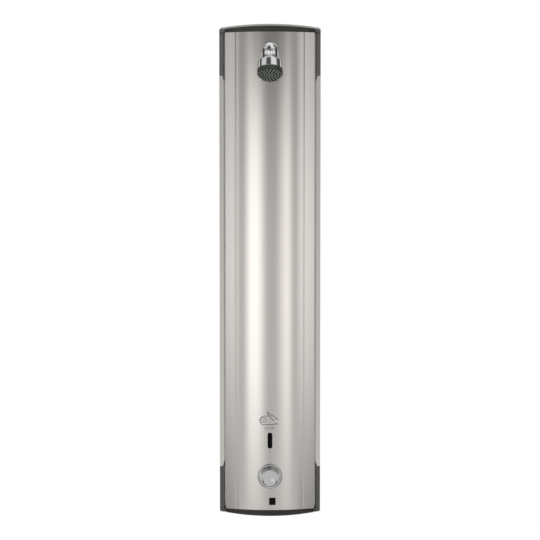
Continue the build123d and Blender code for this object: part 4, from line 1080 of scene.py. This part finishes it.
def box_light(azimuth, height, sides, ends, strength):
    """Soft box as a product of four smooth steps in azimuth and height, in degrees."""
    across = maths("MULTIPLY", ramp(azimuth, sides[0], sides[1]), ramp(azimuth, sides[3], sides[2]))
    upwards = maths("MULTIPLY", ramp(height, ends[0], ends[1]), ramp(height, ends[3], ends[2]))
    return maths("MULTIPLY", maths("MULTIPLY", across, upwards), strength)


def tinted(value, colour):
    """A colour scaled by a value."""
    step = sky.nodes.new("ShaderNodeVectorMath")
    step.operation = "SCALE"
    step.inputs[0].default_value = colour
    sky.links.new(value, step.inputs["Scale"])
    return step.outputs[0]


def summed(first, *others):
    """Sum of colours; each is a node's output or a plain colour."""
    total = first
    for other in others:
        step = sky.nodes.new("ShaderNodeVectorMath")
        step.operation = "ADD"
        sky.links.new(total, step.inputs[0])
        if isinstance(other, tuple):
            step.inputs[1].default_value = other
        else:
            sky.links.new(other, step.inputs[1])
        total = step.outputs[0]
    return total


def blended(share, first, second):
    """Mix of two colours by a share from 0 to 1; the second may be a plain colour."""
    mix = sky.nodes.new("ShaderNodeMix")
    mix.data_type = "RGBA"
    sky.links.new(share, mix.inputs[0])
    sky.links.new(first, mix.inputs[6])
    if isinstance(second, tuple):
        mix.inputs[7].default_value = (*second, 1.0)
    else:
        sky.links.new(second, mix.inputs[7])
    return mix.outputs[2]


def make_sky():
    """Grey room with bright boxes; azimuth 0 looks out from the panel's front, positive to its right."""
    direction = sky.nodes.new("ShaderNodeTexCoord")
    split = sky.nodes.new("ShaderNodeSeparateXYZ")
    sky.links.new(direction.outputs["Generated"], split.inputs[0])
    azimuth = maths("DEGREES", maths("ARCTAN2", split.outputs[0], maths("MULTIPLY", split.outputs[1], -1.0)))
    height = maths("DEGREES", maths("ARCSINE", split.outputs[2]))
    aside = maths("ABSOLUTE", azimuth)
    walls = maths("SUBTRACT", 0.52, maths("MULTIPLY", ramp(height, -2.0, 7.5), 0.27))
    left = box_light(azimuth, height, left_box_sides, soft_box_ends, left_box_strength)
    right = box_light(azimuth, height, right_box_sides, soft_box_ends, right_box_strength)
    rise = maths("MULTIPLY", ramp(height, -15.0, -3.0), 0.62)
    fall = maths("SUBTRACT", 1.0, maths("MULTIPLY", ramp(height, -1.0, 9.0), 0.62))
    edge = maths("SUBTRACT", 1.08, maths("MULTIPLY", ramp(aside, 36.5, 41.0), 0.13))
    side_walls = maths("MULTIPLY", maths("ADD", maths("MULTIPLY", rise, fall), 0.20), edge)
    beyond = maths("ADD", ramp(azimuth, -33.5, -36.0), ramp(azimuth, 28.5, 33.5))
    behind = maths("MULTIPLY", ramp(aside, 70.0, 76.0), ramp(aside, 122.0, 112.0))
    overhead = ramp(height, 12.0, 24.0)
    zenith = maths("ADD", maths("MULTIPLY", ramp(height, 54.0, 64.0), 0.30), 0.09)
    left_bank = box_light(azimuth, height, left_bank_sides, bank_ends, left_bank_strength)
    right_bank = box_light(azimuth, height, right_bank_sides, bank_ends, right_bank_strength)
    rear = maths("MULTIPLY", ramp(aside, 112.0, 124.0), 0.58)
    lens = box_light(azimuth, height, lens_sides, lens_ends, lens_darkness)
    tripod = box_light(azimuth, height, tripod_sides, tripod_ends, tripod_darkness)
    low = blended(beyond, tinted(walls, wall_colour), tinted(side_walls, side_wall_colour))
    low = summed(low, tinted(left, left_box_colour), tinted(right, right_box_colour))
    low = blended(behind, low, behind_colour)
    high = summed(*[tinted(light, plain_colour) for light in (left_bank, right_bank, zenith)])
    room_light = summed(blended(overhead, low, high), tinted(rear, plain_colour))
    dark = maths("MULTIPLY", maths("SUBTRACT", 1.0, lens), maths("SUBTRACT", 1.0, tripod))
    shaded = sky.nodes.new("ShaderNodeVectorMath")
    shaded.operation = "SCALE"
    sky.links.new(room_light, shaded.inputs[0])
    sky.links.new(dark, shaded.inputs["Scale"])
    room = sky.nodes["Background"]
    sky.links.new(shaded.outputs[0], room.inputs["Color"])
    white = sky.nodes.new("ShaderNodeBackground")
    white.inputs["Color"].default_value = (*plain_colour, 1.0)
    path = sky.nodes.new("ShaderNodeLightPath")
    choice = sky.nodes.new("ShaderNodeMixShader")
    sky.links.new(path.outputs["Is Camera Ray"], choice.inputs[0])
    sky.links.new(room.outputs[0], choice.inputs[1])
    sky.links.new(white.outputs[0], choice.inputs[2])
    sky.links.new(choice.outputs[0], sky.nodes["World Output"].inputs["Surface"])


make_sky()
lamp_data = bpy.data.lights.new("ceiling_box", "AREA")
lamp_data.shape = "RECTANGLE"
lamp_data.size = 2.0
lamp_data.size_y = 1.2
lamp_data.energy = 170.0
lamp = bpy.data.objects.new("ceiling_box", lamp_data)
bpy.context.scene.collection.objects.link(lamp)
lamp.location = (-0.3, -0.45, 2.7)
lamp.rotation_euler = (math.radians(8), 0.0, 0.0)
lamp.visible_glossy = False

# Camera
# Straight in front, a little above the panel's middle, with a long lens.
# Its aim is measured at about the depth of the cover's creases.
camera_distance = 3.5
camera_height = 0.17
aim_distance = 3.43
aim_z = 0.0033
camera_data = bpy.data.cameras.new("camera")
camera_data.sensor_width = 36.0
camera_data.lens = 99.8
camera = bpy.data.objects.new("camera", camera_data)
bpy.context.scene.collection.objects.link(camera)
camera.location = (0.0001, -camera_distance, camera_height)
camera.rotation_euler = (math.pi / 2 - math.atan((camera_height - aim_z) / aim_distance), 0.0, 0.0)
bpy.context.scene.camera = camera
bpy.context.scene.view_settings.view_transform = "Standard"
